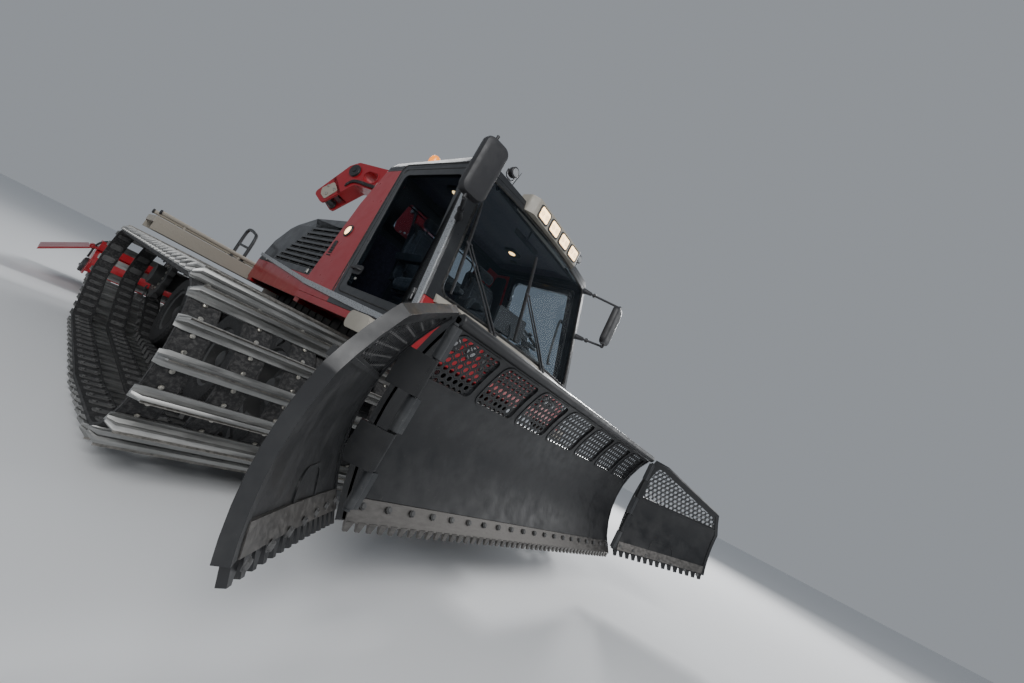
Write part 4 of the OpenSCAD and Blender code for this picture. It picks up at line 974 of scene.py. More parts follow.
def makeWing(side, node, body):
    s = Shape()
    a, b, top = wing["in"], wing["out"], blade["height"]
    tips = [(b, wing["tip"]), (b - 18, 615), (b - 112, 790)]
    outline = teethLine((a, 40), tips[0]) + tips + [(a + 140, top), (a, top)]
    window = rounded([(a + 40, 580), (b - 67, 660), (b - 152, 745), (a + 125, 895), (a + 60, 895)],
                     [30, 24, 30, 30, 20])
    port = rounded([(a + 330, 130), (a + 560, 175), (a + 540, 300), (a + 340, 270)], 50)
    curvedSheet(s, outline, 0, blade["thick"], [window])
    rim = [(a, 44), (a, top), (a + 140, top)] + tips[::-1]
    rim += [(b - 26, wing["tip"] + 2), (b - 44, 606), (b - 132, 768), (a + 130, top - 26), (a + 26, top - 26),
            (a + 26, 46)]
    curvedSheet(s, rim, -6, wing["rimDepth"])
    rail = [(a + 10, 530), (b - 60, 620), (b - 60, 644), (a + 10, 554)]
    curvedSheet(s, rail, 2, 45)
    curvedSheet(s, rounded([(a + 22, 556), (b - 48, 640), (b - 48, 652), (a + 22, 568)], 4, 1), -7, 4)
    curvedSheet(s, rounded([(a + 316, 116), (a + 576, 163), (a + 554, 315), (a + 326, 284)], 60), -5, 3,
                [port])
    for x in (a + 220, a + 440, a + 640):  # stiffeners behind
        low = 60 + (x - a) * 0.15
        s.prism([mouldPoint(low + (520 - low) * i / 5, 18) for i in range(6)]
                + [mouldPoint(520, 58), mouldPoint((520 + low) / 2, 70), mouldPoint(low, 40)], 0, x - 6,
                x + 6)
    foot = [(a + 28, 48), (b - 28, wing["tip"] + 2), (b - 28, wing["tip"] + 70), (a + 28, 118)]
    curvedSheet(s, foot, -9, 1, tag=1)
    for z0, z1 in ((226, 394), (566, 734)):
        s.lathe(rect(12.2, 22, z0, z1), (*wing["axis"], 0), (0, 0, 1), 28)
        s.box(wing["axis"][0] + 4, a + 12, -28, 6, z0, z1)
        s.box(a, a + 20, -10, 118, z0, z1)
    s.turned(wingMatrix)
    if side < 0:
        s = s.mirrored()
    s.make(node + "Plate", ["blade", "wear"], body, "dark_steel", stands=(node,), bevel=2.5)
    perforated(node + "Guard", [window], body, wingMatrix, side)
    turn = wingMatrix.to_3x3()
    bolts = []
    for i in range(7):
        y, z = mouldPoint(86 + i * 19.5, -9)
        at, up = wingMatrix @ Vector((a + 50 + i * 130, y, z)), turn @ Vector((0, -0.9, 0.43))
        bolts.append(((at.x * side, at.y, at.z), (0, 0, 1), (up.x * side, up.y, up.z)))
    repeat(node + "Bolts", boltHead(12), bolts, "cast", body)


bladePlate = makeBlade()
pins = Shape()
for z0, z1 in ((60, 220), (400, 560), (740, 900)):
    pins.lathe(rect(0, 22, z0, z1), (*wing["axis"], 0), (0, 0, 1), 28)
    pins.box(blade["half"] - 10, wing["axis"][0], -28, 6, z0, z1)
pins.lathe([(0, 46), (16, 46), (16, 58), (12, 58), (12, 902), (16, 902), (16, 914), (0, 914)],
           (*wing["axis"], 0), (0, 0, 1), 24)
pins.turned(bladeMatrix).both()
pins.make("wingHinges", ["steel"], "mouldboard", "dark_steel", bevel=2)
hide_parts("blade")
makeWing(1, "wing_left", "left_wing")
makeWing(-1, "wing_right", "right_wing")
print("blade and wings made")


# cab: places worked out from the same few lengths as the frame
cab = {"half": 1060, "roofHalf": 965, "sill": 1250, "roof": 2870, "front": -1995, "rake": 15, "screenR": 4600,
       "roofCut": 2690, "cowl": 1510, "floor": 1150, "seatY": -1177, "seatZ": 1640, "seatX": 429}
sillSlope = (cab["half"] - cab["roofHalf"]) / (cab["roof"] - 100 - cab["sill"])
screenMid = cab["front"] + cab["screenR"] / math.cos(rad(cab["rake"]))


def halfAt(z):
    return cab["half"] - (z - cab["sill"]) * sillSlope


def screenAt(x, z, off=0.0):  # y of the windscreen's outer face, stood off to the front
    lean = math.tan(rad(cab["rake"]))
    return screenMid + (z - cab["sill"]) * lean - math.sqrt(cab["screenR"] ** 2 - x
                                                            * x) / math.cos(rad(cab["rake"])) - off


def cornerY(z):
    return screenAt(halfAt(z), z)


def grown(pts, g):
    cx, cz = sum(p[0] for p in pts) / len(pts), sum(p[1] for p in pts) / len(pts)
    return [(x + math.copysign(g, x - cx), z + math.copysign(g, z - cz)) for x, z in pts]


doorPts = [(cornerY(1315) + 115, 1315), (cornerY(2640) + 115, 2640), (0.21 * cab["front"], 2665),
           (0.345 * cab["front"], 1345)]
doorWindow = rounded(grown(doorPts, -62), 60)
screenZ = (cab["cowl"] + 65, cab["roofCut"] - 50)
screenPts = [(s * (halfAt(z) - 90), z) for s, z in ((-1, screenZ[0]), (1, screenZ[0]), (1, screenZ[1]),
                                                    (-1, screenZ[1]))]
screenShape = rounded(screenPts, 70)


def dense(loop, step=90):  # extra points along a closed loop, so that it follows a curved face
    out = []
    for i, p in enumerate(loop):
        q = loop[(i + 1) % len(loop)]
        n = max(1, round(math.dist(p, q) / step))
        out += [tuple(a + (b - a) * k / n for a, b in zip(p, q)) for k in range(n)]
    return out


def sealLoop(shape, loop, at, radius):  # a rubber seal along a window's edge
    return shape.tube([at(*p) for p in dense(loop)], radius, 8, 0, True)


for nodeName, lookName, ease in (
        ("cab_frame", "black", 5), ("cab_roof", "black", 6), ("red_quarters", "red", 5),
        ("cab_floor", "red", 6),
        ("door_left", "black", 4), ("door_right", "black", 4), ("side_trims", "silver", 2),
        ("engine_hood", "black", 7),
        ("lower_panels", "red", 6), ("chassis_tub", "steel", 4), ("axle_arms", "steel", 3),
        ("winch_frame", "steel", 5),
        ("lift_frame", "steel", 4), ("blade_carrier", "steel", 3), ("tiller_frame", "red", 4),
        ("tiller_housing", "red", 4), ("tiller_barrels", "steel", 3), ("lift_barrels", "steel", 3),
        ("angle_barrel_left", "steel", 3), ("angle_barrel_right", "steel", 3), ("engine_block", "cast", 12),
        ("dashboard", "dash", 8), ("side_finisher_left", "red", 3), ("side_finisher_right", "red", 3)):
    dressed(nodeName, lookName, ease)

seals = Shape()
sealLoop(seals, screenShape, lambda x, z: (x, screenAt(x, z, -3), z), 11)
rearPts = rounded([(-620, 2260), (620, 2260), (600, 2590), (-600, 2590)], 60)
for side, word in ((1, "left"), (-1, "right")):
    s = Shape()
    sealLoop(s, doorWindow, lambda y, z: (side * (halfAt(z) - 3), y, z), 9)
    sealLoop(s, rounded(grown(doorPts, -4), 80), lambda y, z: (side * (halfAt(z) - 4), y, z), 6)
    s.make("doorSeal_" + word, ["seal"], word + "_door", "track_rubber")
    h = Shape()  # pull handle in its dished plate, and a grab bar inside the window
    y0, z0 = 0.345 * cab["front"] - 80, 1560
    x0 = halfAt(z0)
    dish = roundRect(y0 - 95, y0 + 55, z0 - 42, z0 + 42, 26)
    h.prism(dish, 0, side * (x0 - 4), side * (x0 + 6), 0)
    h.tube(smoothPath([(side * (x0 + 4), y0 - 78, z0), (side * (x0 + 34), y0 - 58, z0),
                       (side * (x0 + 36), y0 - 10, z0),
                       (side * (x0 + 30), y0 + 30, z0), (side * (x0 + 4), y0 + 38, z0)], 20), 11, 10, 0)
    h.lathe([(0, -2), (13, -2), (13, 9), (10, 11), (0, 11)], (side * x0, y0 - 70, z0 - 80), (side, 0, 0), 20,
            1)
    h.make("doorHandle_" + word, ["plastic", "zinc"], word + "_door", "black_plastic", bevel=1.5)
    b = Shape()
    za, zb, yb = 1760, 2240, -1500
    b.tube(smoothPath([(side * (halfAt(za) - 52), yb, za), (side * (halfAt(za) - 110), yb, za + 30),
                       (side * (halfAt(zb) - 110), yb + 60, zb - 30),
                       (side * (halfAt(zb) - 52), yb + 60, zb)], 24), 13, 10)
    b.make("grabBar_" + word, ["dash"], "machine", "black_plastic")
sealLoop(seals, rearPts, lambda x, z: (x, 0, z), 9)
seals.make("cabSeals", ["seal"], "machine", "track_rubber")


def cowlStrip():  # the moulding under the windscreen that the wipers stand on
    s, n = Shape(), 24
    rows = []
    for i in range(n + 1):
        x = -halfAt(1530) + 70 + (2 * halfAt(1530) - 140) * i / n
        section = [(-4, 1498), (-26, 1500), (-30, 1512), (-20, 1544), (-2, 1560), (6, 1556), (6, 1500)]
        rows.append([(x, screenAt(x, z, 0) + y, z) for y, z in section])
    s.loft(rows)
    for k in range(9):
        x = -640 + 160 * k
        s.prism(roundRect(x - 52, x + 52, 1512, 1532, 8, 3), 1,
                screenAt(x, 1522, 31), screenAt(x, 1522, 22), 1)
    s.make("cowlStrip", ["lampCase", "plastic"], "machine", "lamp_housing", bevel=2)


def nose():  # grille, its end posts and lamps of the red front
    s = Shape()

    def y(x, z):
        return screenAt(x, z, 6)

    for k in range(7):
        z = 1240 + 30 * k
        row = []
        for i in range(13):
            x = -420 + 70 * i
            row.append([(x, y(x, z) + a, z + b) for a, b in ((0, -8), (-12, -4), (-12, 4), (6, 10), (8, -6))])
        s.loft(row, 0)
    for x in (-430, 430):
        s.loft([[(x - 14, y(x, z) - 14, z), (x + 14, y(x, z) - 14, z), (x + 14, y(x, z) + 8, z),
                 (x - 14, y(x, z) + 8, z)]
                for z in (1225, 1330, 1440)], 0)
    for side in (-1, 1):
        for x in (560, 720):
            c = (side * x, y(x, 1330) + 4, 1330)
            s.lathe([(0, 10), (52, 10), (58, 4), (60, -4), (60, -20), (52, -22), (50, -16), (0, -16)], c,
                    (0, 1, 0), 28, 0)
            s.lathe([(0, -19), (30, -20), (49, -16), (49, -10), (0, -10)], c, (0, 1, 0), 28, 1)
    s.make("noseGrille", ["plastic", "lens"], "machine", "black_plastic", bevel=1.5)


def lampBar():
    s = Shape()
    x1, (z0, z1) = 460, (2645, 2815)
    y0 = screenAt(0, z0) - 45
    plan = rounded([(-x1, y0 + 200), (-x1, y0 + 60), (-x1 + 60, y0), (x1 - 60, y0), (x1, y0 + 60),
                    (x1, y0 + 200)], 34, 6)
    s.prism(plan, 2, z0 + 12, z1, 0)
    for i in range(4):
        x = -285 + 190 * i
        lampEdge = roundRect(x - 80, x + 80, z0 + 22, z1 - 22, 20)
        inner = roundRect(x - 66, x + 66, z0 + 36, z1 - 36, 14)
        s.prism(lampEdge, 1, y0 - 9, y0 + 12, 1)
        s.prism(inner, 1, y0 - 12, y0 - 8, 2)
        for px in (-33, 33):  # twin reflectors behind the lit face
            s.lathe([(0, -14), (20, -13.5), (27, -12), (27, -9), (0, -9)], (x + px, y0, (z0 + z1) / 2),
                    (0, 1, 0), 20, 3)
    for i in range(11):  # cooling slots on the top
        s.prism(roundRect(-300 + 60 * i - 20, -300 + 60 * i + 20, y0 + 60, y0 + 72, 5, 2), 2, z1 - 2,
                z1 + 1.2, 1)
    bolts = [((x, y0 + 100, z1), (1, 0, 0), (0, 0, 1)) for x in (-400, -133, 133, 400)]
    s.make("lampBar", ["lampCase", "plastic", "lit", "lens"], "machine", "lamp_housing",
           stands=("roof_lamps",), bevel=3)
    repeat("lampBarBolts", boltHead(9), bolts, "zinc", "machine")
    r = Shape()
    for side in (-1, 1):
        bx, by = side * (0.77 * cab["roofHalf"] + 47), 0.23 * cab["front"]
        r.lathe([(0, 2790), (64, 2790), (64, 2846), (58, 2862), (50, 2864), (0, 2864)], (bx, by, 0),
                (0, 0, 1), 36, 0)
        r.lathe([(0, 2862), (52, 2862), (55, 2872), (54, 2940), (48, 2968), (32, 2984), (0, 2989)],
                (bx, by, 0), (0, 0, 1), 36, 1)
        for k in range(5):
            r.lathe([(53, 2878 + 14 * k), (57, 2881 + 14 * k), (53, 2884 + 14 * k)], (bx, by, 0), (0, 0, 1),
                    36, 1)
        wx, wy, wz = side * 646.5, -1446.4, 2882
        r.lathe([(0, -50), (38, -50), (41, -46), (46, -44), (46, -18), (42, 4), (30, 22), (16, 29), (0, 30)],
                (wx, wy, wz), (0, 1, 0), 32, 0)
        r.lathe([(0, -52), (26, -51.5), (38, -49), (38, -44), (0, -44)], (wx, wy, wz), (0, 1, 0), 32, 2)
        r.tube([(wx - 50, wy, wz), (wx - 50, wy, wz - 40), (wx - 30, wy, wz - 62), (wx + 30, wy, wz - 62),
                (wx + 50, wy, wz - 40), (wx + 50, wy, wz)], 5, 8, 0)
        r.tube([(wx, wy, wz - 62), (wx, wy, wz - 125)], 11, 12, 0)
        r.lathe([(0, -132), (34, -132), (34, -118), (30, -112), (0, -112)], (wx, wy, wz), (0, 0, 1), 24, 0)
    r.tube(smoothPath([(-330, -1120, 2850), (-330, -1122, 3020), (-322, -1150, 3180)], 12),
           [5] * 11 + [3] * 2, 8, 0)
    r.lathe([(0, 2840), (26, 2840), (26, 2874), (18, 2882), (0, 2882)], (-330, -1120, 0), (0, 0, 1), 24, 0)
    r.make("roofLights", ["plastic", "amber", "lens"], "machine", "lamp_housing")


def mirrorPair():
    for side, word in ((1, "Left"), (-1, "Right")):
        s = Shape()
        cx, cy, cz = halfAt(2420) + 183, cornerY(2420) - 305, 2420
        turn = Matrix.Translation((cx, cy, cz)) @ Matrix.Rotation(rad(12), 4, "Z")
        body = roundRect(-105, 105, -225, 225, 62, 8)
        shell = Shape().loft([[(x * k, y, z * m) for x, z in body] for y, k, m in (
            (30, 0.975, 0.985), (22, 1.0, 1.0), (-8, 0.985, 0.993), (-28, 0.9, 0.955), (-37, 0.76, 0.88),
            (-40, 0.55, 0.75))])
        for z0, z1 in ((-200, 62), (80, 202)):  # main glass and the wide-angle glass over it
            shell.prism(roundRect(-84, 84, z0, z1, 36, 7), 1, 28, 33, 1)
        s.join(shell, turn)
        bar = (cx + 30, cy + 5)
        s.tube([(bar[0], bar[1], cz + 252), (bar[0], bar[1], cz - 252)], 12, 14)
        for z in (cz - 60, cz + 130):
            s.lathe(rect(12, 23, z - 26, z + 26), (bar[0], bar[1], 0), (0, 0, 1), 20)
        for zIn, rise in ((2680, 240), (2150, -240)):
            base = Vector((halfAt(zIn) - 6, cornerY(zIn) + 14, zIn))
            end = Vector((bar[0], bar[1], cz + rise))
            way = (end - base).normalized()
            s.tube([base, end - way * 26, end - way * 10 + Vector((0, 0, rise / 30)),
                    end + Vector((0, 0, rise / 20))], 12, 14)
            s.tube([base, base + way * 12, base + way * 90, base + way * 100], [30, 30, 21, 16], 20, 0)
            s.lathe(rect(12, 24, -14, 14), base + way * 130, way, 20)
        if side < 0:
            s = s.mirrored()
        s.make("mirror" + word, ["plastic", "mirror"], "machine", "black_plastic",
               stands=("mirrors",) if side > 0 else (), bevel=1.5)


def wiperPair():
    s = Shape()

    def at(x, z, off):
        return Vector((x, screenAt(x, z, off), z))

    for px, bx in ((-450, -880), (300, -170)):
        pz = 1542
        s.lathe([(0, -26), (24, -26), (24, 10), (19, 24), (0, 28)], at(px, pz, 0), (0, -1, 0.26), 24)
        mid = at(bx, 2022, 30)
        for shift in (0, 46):  # two arms side by side keep the blade upright
            base = at(px + shift, pz, 26)
            top = mid + Vector((shift - 23, 0, 0))
            knee = base.lerp(top, 0.34) + Vector((0, -8, 0))
            s.tube([base, knee, top], [10, 8, 6], 8)
            s.lathe(rect(0, 15, -9, 9), base, (0, -1, 0.26), 18)
        s.tube([at(bx - 26, 2022, 30), at(bx + 30, 2022, 30)], 9, 10)
        rubberLine = [at(bx, z, 22 + 10 * (1 - ((z - 2022) / 410) ** 2)) for z in range(1612, 2450, 70)]
        s.tube(rubberLine, [6] + [9] * (len(rubberLine) - 2) + [6], 6)
        rubber = Shape()
        path = [at(bx, z, 8) for z in range(1612, 2450, 70)]
        rubber.loft([[p + Vector((-11, -12, 0)), p + Vector((11, -12, 0)), p + Vector((3, 3, 0)),
                      p + Vector((-3, 3, 0))] for p in path], 1)
        s.join(rubber)
    s.make("wiperArms", ["plastic", "seal"], "machine", "black_plastic", stands=("wipers",), bevel=1)


def quarterLamps():
    s = Shape()
    for side in (-1, 1):
        y, z = -170, 1920
        x = halfAt(z)
        tilt = (side, 0, sillSlope)
        s.lathe([(0, -14), (62, -14), (66, -4), (66, 4), (58, 14), (50, 16), (48, 8), (0, 8)],
                (side * x, y, z), tilt, 36, 0)
        s.lathe([(0, 7), (47, 7), (47, 11), (36, 17), (0, 21)], (side * x, y, z), tilt, 36, 1)
        well = rounded([(-150, 1610), (-70, 1610), (-50, 1790), (-110, 1800)], 22)
        s.prism(well, 0, side * (halfAt(1700) - 30), side * (halfAt(1700) + 2), 0)
        for k in range(6):
            zz = 1630 + 27 * k
            s.prism([(-142 + 5 * k, zz), (-66 + 3 * k, zz), (-64 + 3 * k, zz + 10), (-140 + 5 * k, zz + 10)],
                    0, side * (halfAt(zz) - 2), side * (halfAt(zz) + 6), 2)
    s.make("quarterLamps", ["plastic", "lit", "seal"], "machine", "lamp_housing", bevel=2)


cowlStrip()
nose()
lampBar()
mirrorPair()
wiperPair()
quarterLamps()
print("cab dressed")

# inside the cab
cabin = {"pressure": 4.0, "cap": 14.0, "voxel": 8.0, "frames": 20, "wheelR": 185, "wheelTilt": 32,
            "ceilingFront": 62, "dashes": 13}
seatAt = {"x": cab["seatX"], "y": cab["seatY"], "z": cab["seatZ"]}


def evaluated(obj):
    graph = bpy.context.evaluated_depsgraph_get()
    return bpy.data.meshes.new_from_object(obj.evaluated_get(graph), depsgraph=graph)


# remeshed, blown up by the cloth solver, then quilted; channels: a depth for a point
def padMesh(shape, channels):
    helper = blank("padHelper")
    helper.data.from_pydata([p / 1000 for p in shape.points], [], shape.faces)
    outward(helper.data)
    grid = helper.modifiers.new("voxels", "REMESH")
    grid.mode, grid.voxel_size = "VOXEL", cabin["voxel"] / 1000
    mesh = evaluated(helper)
    helper.modifiers.clear()
    helper.data = mesh
    rest = [v.co.copy() for v in mesh.vertices]
    cloth = helper.modifiers.new("swell", "CLOTH")
    cloth.settings.use_pressure = True
    cloth.settings.uniform_pressure_force = cabin["pressure"]
    cloth.settings.effector_weights.gravity = 0
    cloth.settings.quality = 4
    cloth.point_cache.frame_start, cloth.point_cache.frame_end = 1, cabin["frames"]
    for frameNumber in range(1, cabin["frames"] + 1):
        bpy.context.scene.frame_set(frameNumber)
    swollen = evaluated(helper)
    helper.modifiers.clear()
    for v, w, p in zip(mesh.vertices, swollen.vertices, rest):
        move = w.co - p
        far = cabin["cap"] / 1000
        v.co = p + (move * (far / move.length) if move.length > far else move)
    bpy.context.scene.frame_set(1)
    mesh.update()
    normals = [v.normal.copy() for v in mesh.vertices]
    for v, n in zip(mesh.vertices, normals):
        v.co -= n * channels(v.co * 1000, n) / 1000
    bpy.data.objects.remove(helper)
    return mesh


def padPiece(name, mesh, matrix, look, stands=()):
    copy = mesh.copy()
    copy.transform(matrix)
    copy.materials.clear()
    copy.materials.append(finishes[look])
    copy.shade_smooth()
    obj = bpy.data.objects.new(name, copy)
    bpy.context.scene.collection.objects.link(obj)
    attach(obj, "machine")
    if stands:
        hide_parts(*stands)
    return obj


def groove(distance, depth, width=7.0):
    return depth * math.exp(-(distance / width) ** 2)


def cushionChannels(p, n):  # two seams beside the bolsters and stitched channels across the middle
    d = groove(abs(p.x) - 168, 7)
    if abs(p.x) < 168 and n.z > 0.3:
        d = max(d, max(groove(p.y - y, 5) for y in (150, 250, 350, 450)))
    return d


def backChannels(p, n):
    d = groove(abs(p.x) - 160, 7)
    if abs(p.x) < 160 and n.y < -0.3:
        d = max(d, max(groove(p.z - z, 5) for z in (190, 290, 390, 490, 590)))
    return d


def restChannels(p, n):
    return max(groove(abs(p.x) - 95, 4, 6), groove(p.y, 3, 5) if abs(n.x) > 0.5 else 0)


def cushionForm():
    rows = []
    for y, w, rise, low in ((14, 214, 74, 22), (44, 238, 96, 8), (160, 244, 104, 2), (330, 244, 94, -6),
                            (470, 238, 84, -8), (520, 222, 70, 4)):
        rows.append([(-w, y, low + 16), (-w + 18, y, low), (w - 18, y, low), (w, y, low + 16),
                     (w + 3, y, rise - 8), (w - 24, y, rise + 12),
                     (w - 66, y, rise - 2), (0, y, rise - 12), (-w + 66, y, rise - 2),
                     (-w + 24, y, rise + 12), (-w - 3, y, rise - 8)])
    return Shape().loft(rows)


def backForm():
    rows = []
    for z, w, y, deep in ((66, 205, 498, 84), (110, 228, 496, 94), (260, 238, 514, 92), (430, 232, 542, 90),
                          (570, 212, 574, 84), (640, 178, 590, 70)):
        rows.append([(-w, y + deep, z), (w, y + deep, z), (w + 6, y + 30, z), (w - 22, y - 8, z),
                     (w - 62, y + 12, z), (0, y + 20, z),
                     (-w + 62, y + 12, z), (-w + 22, y - 8, z), (-w - 6, y + 30, z)])
    return Shape().loft(rows)


def restForm():
    rows = []
    for x, g in ((-132, 0.8), (-112, 0.98), (0, 1.0), (112, 0.98), (132, 0.8)):
        rows.append([(x, 44 * g * math.cos(rad(a)), 62 * g * math.sin(rad(a))) for a in range(0, 360, 24)])
    return Shape().loft(rows)


def seatHardware(x):
    s = Shape()
    y, z = seatAt["y"], seatAt["z"]
    s.prism(roundRect(x - 215, x + 215, y + 40, y + 500, 40), 2, z - 30, z + 6, 0)
    for k in range(6):  # bellows of the sprung base
        z0, w = cab["floor"] + 130 + 46 * k, 176 if k % 2 else 192
        sections = [[(x + a, y + b, zz) for a, b in roundRect(-w + e, w - e, 110 + e, 470 - e, 36)]
                    for zz, e in ((z0, 8), (z0 + 12, 0), (z0 + 34, 0), (z0 + 46, 8))]
        s.loft(sections, 0)
    s.prism(roundRect(x - 200, x + 200, y + 90, y + 490, 24), 2, cab["floor"] + 65, cab["floor"] + 132, 0)
    for side in (-1, 1):
        s.prism(rect(y + 20, y + 520, z - 46, z - 30), 0, x + side * 170 - 14, x + side * 170 + 14, 1)
        arm = rounded([(y + 150, z + 236), (y + 560, z + 226), (y + 600, z + 300), (y + 190, z + 300),
                       (y + 150, z + 280)], 22)
        s.prism(arm, 0, x + side * 258 - 34, x + side * 258 + 34, 0)
        s.tube([(x + side * 258, y + 540, z + 262), (x + side * 222, y + 590, z + 262)], 22, 14, 0)
    back = rounded([(y + 596, z + 50), (y + 628, z + 40), (y + 744, z + 640), (y + 700, z + 690),
                    (y + 668, z + 650)], 18)
    s.prism(back, 0, x - 205, x + 205, 0)
    for side in (-1, 1):  # head rest's two rods, then the buckle and the belt
        s.tube([(x + side * 70, y + 668, z + 640), (x + side * 70, y + 690, z + 740)], 7, 12, 2)
    belt = [(y + 660, z + 640), (y + 590, z + 560), (y + 560, z + 420), (y + 520, z + 200),
            (y + 470, z + 112)]
    s.loft([[(x - 244 + 18 * i, a - 3, b - 2), (x - 198 + 18 * i, a - 3, b - 2), (x - 198 + 18 * i, a, b),
             (x - 244 + 18 * i, a, b)]
            for i, (a, b) in enumerate(belt)], 3)
    # the buckle takes the red lamp finish, so it glows faintly though it is no lamp: a painted glow
    s.prism(roundRect(y + 448, y + 486, z + 66, z + 160, 10), 0, x + 200, x + 226, 4)
    return s


def makeSeats():
    y, z = seatAt["y"], seatAt["z"]
    forms = ((cushionForm, cushionChannels), (backForm, backChannels), (restForm, restChannels))
    cushion, back, rest = [padMesh(form(), channels) for form, channels in forms]
    for side, word in ((1, "Left"), (-1, "Right")):
        x = side * seatAt["x"]
        base = Matrix.Translation(place((x, y, z)))
        padPiece("seatCushion" + word, cushion, base, "fabric", ("seats",) if side > 0 else ())
        padPiece("seatBack" + word, back, base, "fabric")
        restTurn = Matrix.Translation(place((x, y + 676, z + 748))) @ Matrix.Rotation(rad(-12), 4, "X")
        padPiece("headRest" + word, rest, restTurn, "fabric")
        seatHardware(x).make("seatFrame" + word, ["dash", "silver", "chrome", "seal", "redGlow"], "machine",
                             "black_plastic", bevel=3)


def dashFittings():
    s = Shape()
    x, y, z = seatAt["x"], -1468, 1838
    tilt = Matrix.Translation((x, y, z)) @ Matrix.Rotation(rad(cabin["wheelTilt"]), 4, "X")
    wheelShape = Shape()
    r = cabin["wheelR"]
    rim = [(r * math.cos(2 * pi * k / 48), r * math.sin(2 * pi * k / 48), 0) for k in range(48)]
    wheelShape.tube(rim, 15, 12, 0, True)
    wheelShape.lathe([(0, -34), (46, -34), (56, -22), (58, 0), (50, 12), (0, 16)], (0, 0, 0), (0, 0, 1), 32,
                     0)
    for a in (-90, 30, 150):
        c, d = math.cos(rad(a)), math.sin(rad(a))
        wheelShape.loft([[(c * q - d * w, d * q + c * w, h + dz) for w,
                          dz in ((-17 * g, -5), (17 * g, -5), (17 * g, 5), (-17 * g, 5))]
                         for q, g, h in ((40, 1.3, -8), (100, 0.9, -12), (r - 2, 0.8, 0))], 1)
    wheelShape.lathe([(0, 0), (17, 0), (20, 16), (22, 34), (16, 42), (0, 44)], (0.62 * r, 0.62 * r * 0.5, 6),
                     (0, 0, 1), 20, 0)
    s.join(wheelShape, tilt)
    s.tube([(x, y - 14, z - 26), (x, -1560, 1690), (x, -1640, 1560)], [36, 34, 48], 20, 0)
    for side in (-1, 1):  # column levers
        s.tube([(x, y - 30, z - 54), (x + side * 150, y - 12, z - 34), (x + side * 190, y - 8, z - 28)],
               [9, 7, 11], 12, 0)
    cowl = rounded([(-1700, 1568), (-1560, 1570), (-1575, 1660), (-1650, 1690), (-1712, 1640)], 24)
    s.prism(cowl, 0, x - 210, x + 210, 0)
    face = Matrix.Translation((x, -1561, 1612)) @ Matrix.Rotation(rad(-10), 4, "X")
    for dx, radius in ((-110, 36), (0, 44), (110, 36)):  # three round gauges
        g = Shape().lathe([(0, 0), (radius - 6, 0), (radius - 6, 5), (radius, 5), (radius + 3, -6), (0, -8)],
                          (dx, 0, 0), (0, 1, 0), 28, 0)
        g.lathe(rect(0, radius - 8, 1.5, 0.5), (dx, 0, 0), (0, 1, 0), 28, 2)
        s.join(g, face)
    # displays on stalks
    for cx, cy, cz, w, h, yaw in ((60, -1560, 1790, 170, 112, -14), (700, -1360, 1760, 110, 74, 34)):
        turn = Matrix.Translation((cx, cy, cz)) @ Matrix.Rotation(rad(yaw), 4,
                                                                  "Z") @ Matrix.Rotation(rad(-12), 4, "X")
        d = Shape().prism(roundRect(-w, w, -h, h, 16), 1, -24, 10, 0)
        d.prism(roundRect(-w + 14, w - 14, -h + 14, h - 14, 5, 2), 1, 8, 12, 2)
        for k in range(5):
            d.lathe([(0, 9), (7, 9), (7, 13), (0, 13.5)], (-w + 34 + k * (w - 34) / 2, 0, -h + 7), (0, 1, 0),
                    12, 1)
        s.join(d, turn)
        foot = (cx, -1640, 1565) if cx < 300 else (760, -1290, 1560)
        s.tube(smoothPath([(cx, cy - 26, cz), (cx, cy - 70, cz - 80), foot], 10), 13, 12, 0)
    for x0 in (-620, -390, -160, 640):  # air vents with slats
        s.lathe([(30, 0), (42, 0), (46, 8), (42, 14), (32, 12)], (x0, -1640, 1572), (0, 0.35, 0.94), 24, 0)
        for k in range(4):
            s.box(x0 - 28, x0 + 28, -1662 + 13 * k, -1657 + 13 * k, 1572, 1582, 1)
    s.tube(smoothPath([(-620, -1560, 1500), (-600, -1500, 1540), (-430, -1490, 1550), (-260, -1500, 1540),
                       (-240, -1560, 1500)], 24), 15, 12, 1)
    # joystick grip over its folded boot, keys on the console
    stick = (0, seatAt["y"] + 190, seatAt["z"] + 200)
    for k in range(4):
        s.lathe([(0, 0), (62 - 9 * k, 0), (66 - 9 * k, 9), (60 - 9 * k, 20), (0, 20)],
                (0, stick[1] + 46 - 8 * k, stick[2] - 140 + 20 * k), (0, -0.3, 1), 24, 0)
    s.loft([[(stick[0] + dx * g, stick[1] + dy * g + lean, stick[2] + dz) for dx,
             dy in roundRect(-30, 30, -34, 34, 20, 3)]
            for dz, g, lean in ((-30, 0.9, 4), (0, 1.05, 0), (50, 1.12, -10), (86, 1.0, -22),
                                (98, 0.6, -28))], 0)
    for k in range(5):
        x0 = -78 + 32 * k
        s.prism(roundRect(x0, x0 + 22, seatAt["y"] + 330, seatAt["y"] + 352, 4, 2), 2,
                seatAt["z"] + 58, seatAt["z"] + 67, 1)
    for px in (330, 500):
        s.loft([[(px + a, -1590 + 30 * t, 1262 + 110 * t + b) for a,
                 b in ((-34, -6), (34, -6), (34, 6), (-34, 6))] for t in (0, 0.5, 1)], 1)
    s.make("cabFittings", ["dash", "plastic", "screen"], "machine", "black_plastic", bevel=2)


def ceilingAt(x, y):
    front = ((0, 2813), (714, 2813), (809, 2798), (876, 2738))
    side = ((-1700, 2655), (-1556, 2688), (-1396, 2743), (-1097, 2793), (-598, 2813), (-257, 2801),
            (-167, 2753), (-60, 2250))

    def along(rows, t):
        for (a, u), (b, v) in zip(rows, rows[1:]):
            if t <= b:
                return u + (v - u) * (t - a) / (b - a)
        return rows[-1][1]

    return min(along(front, abs(x)), along(side, y))


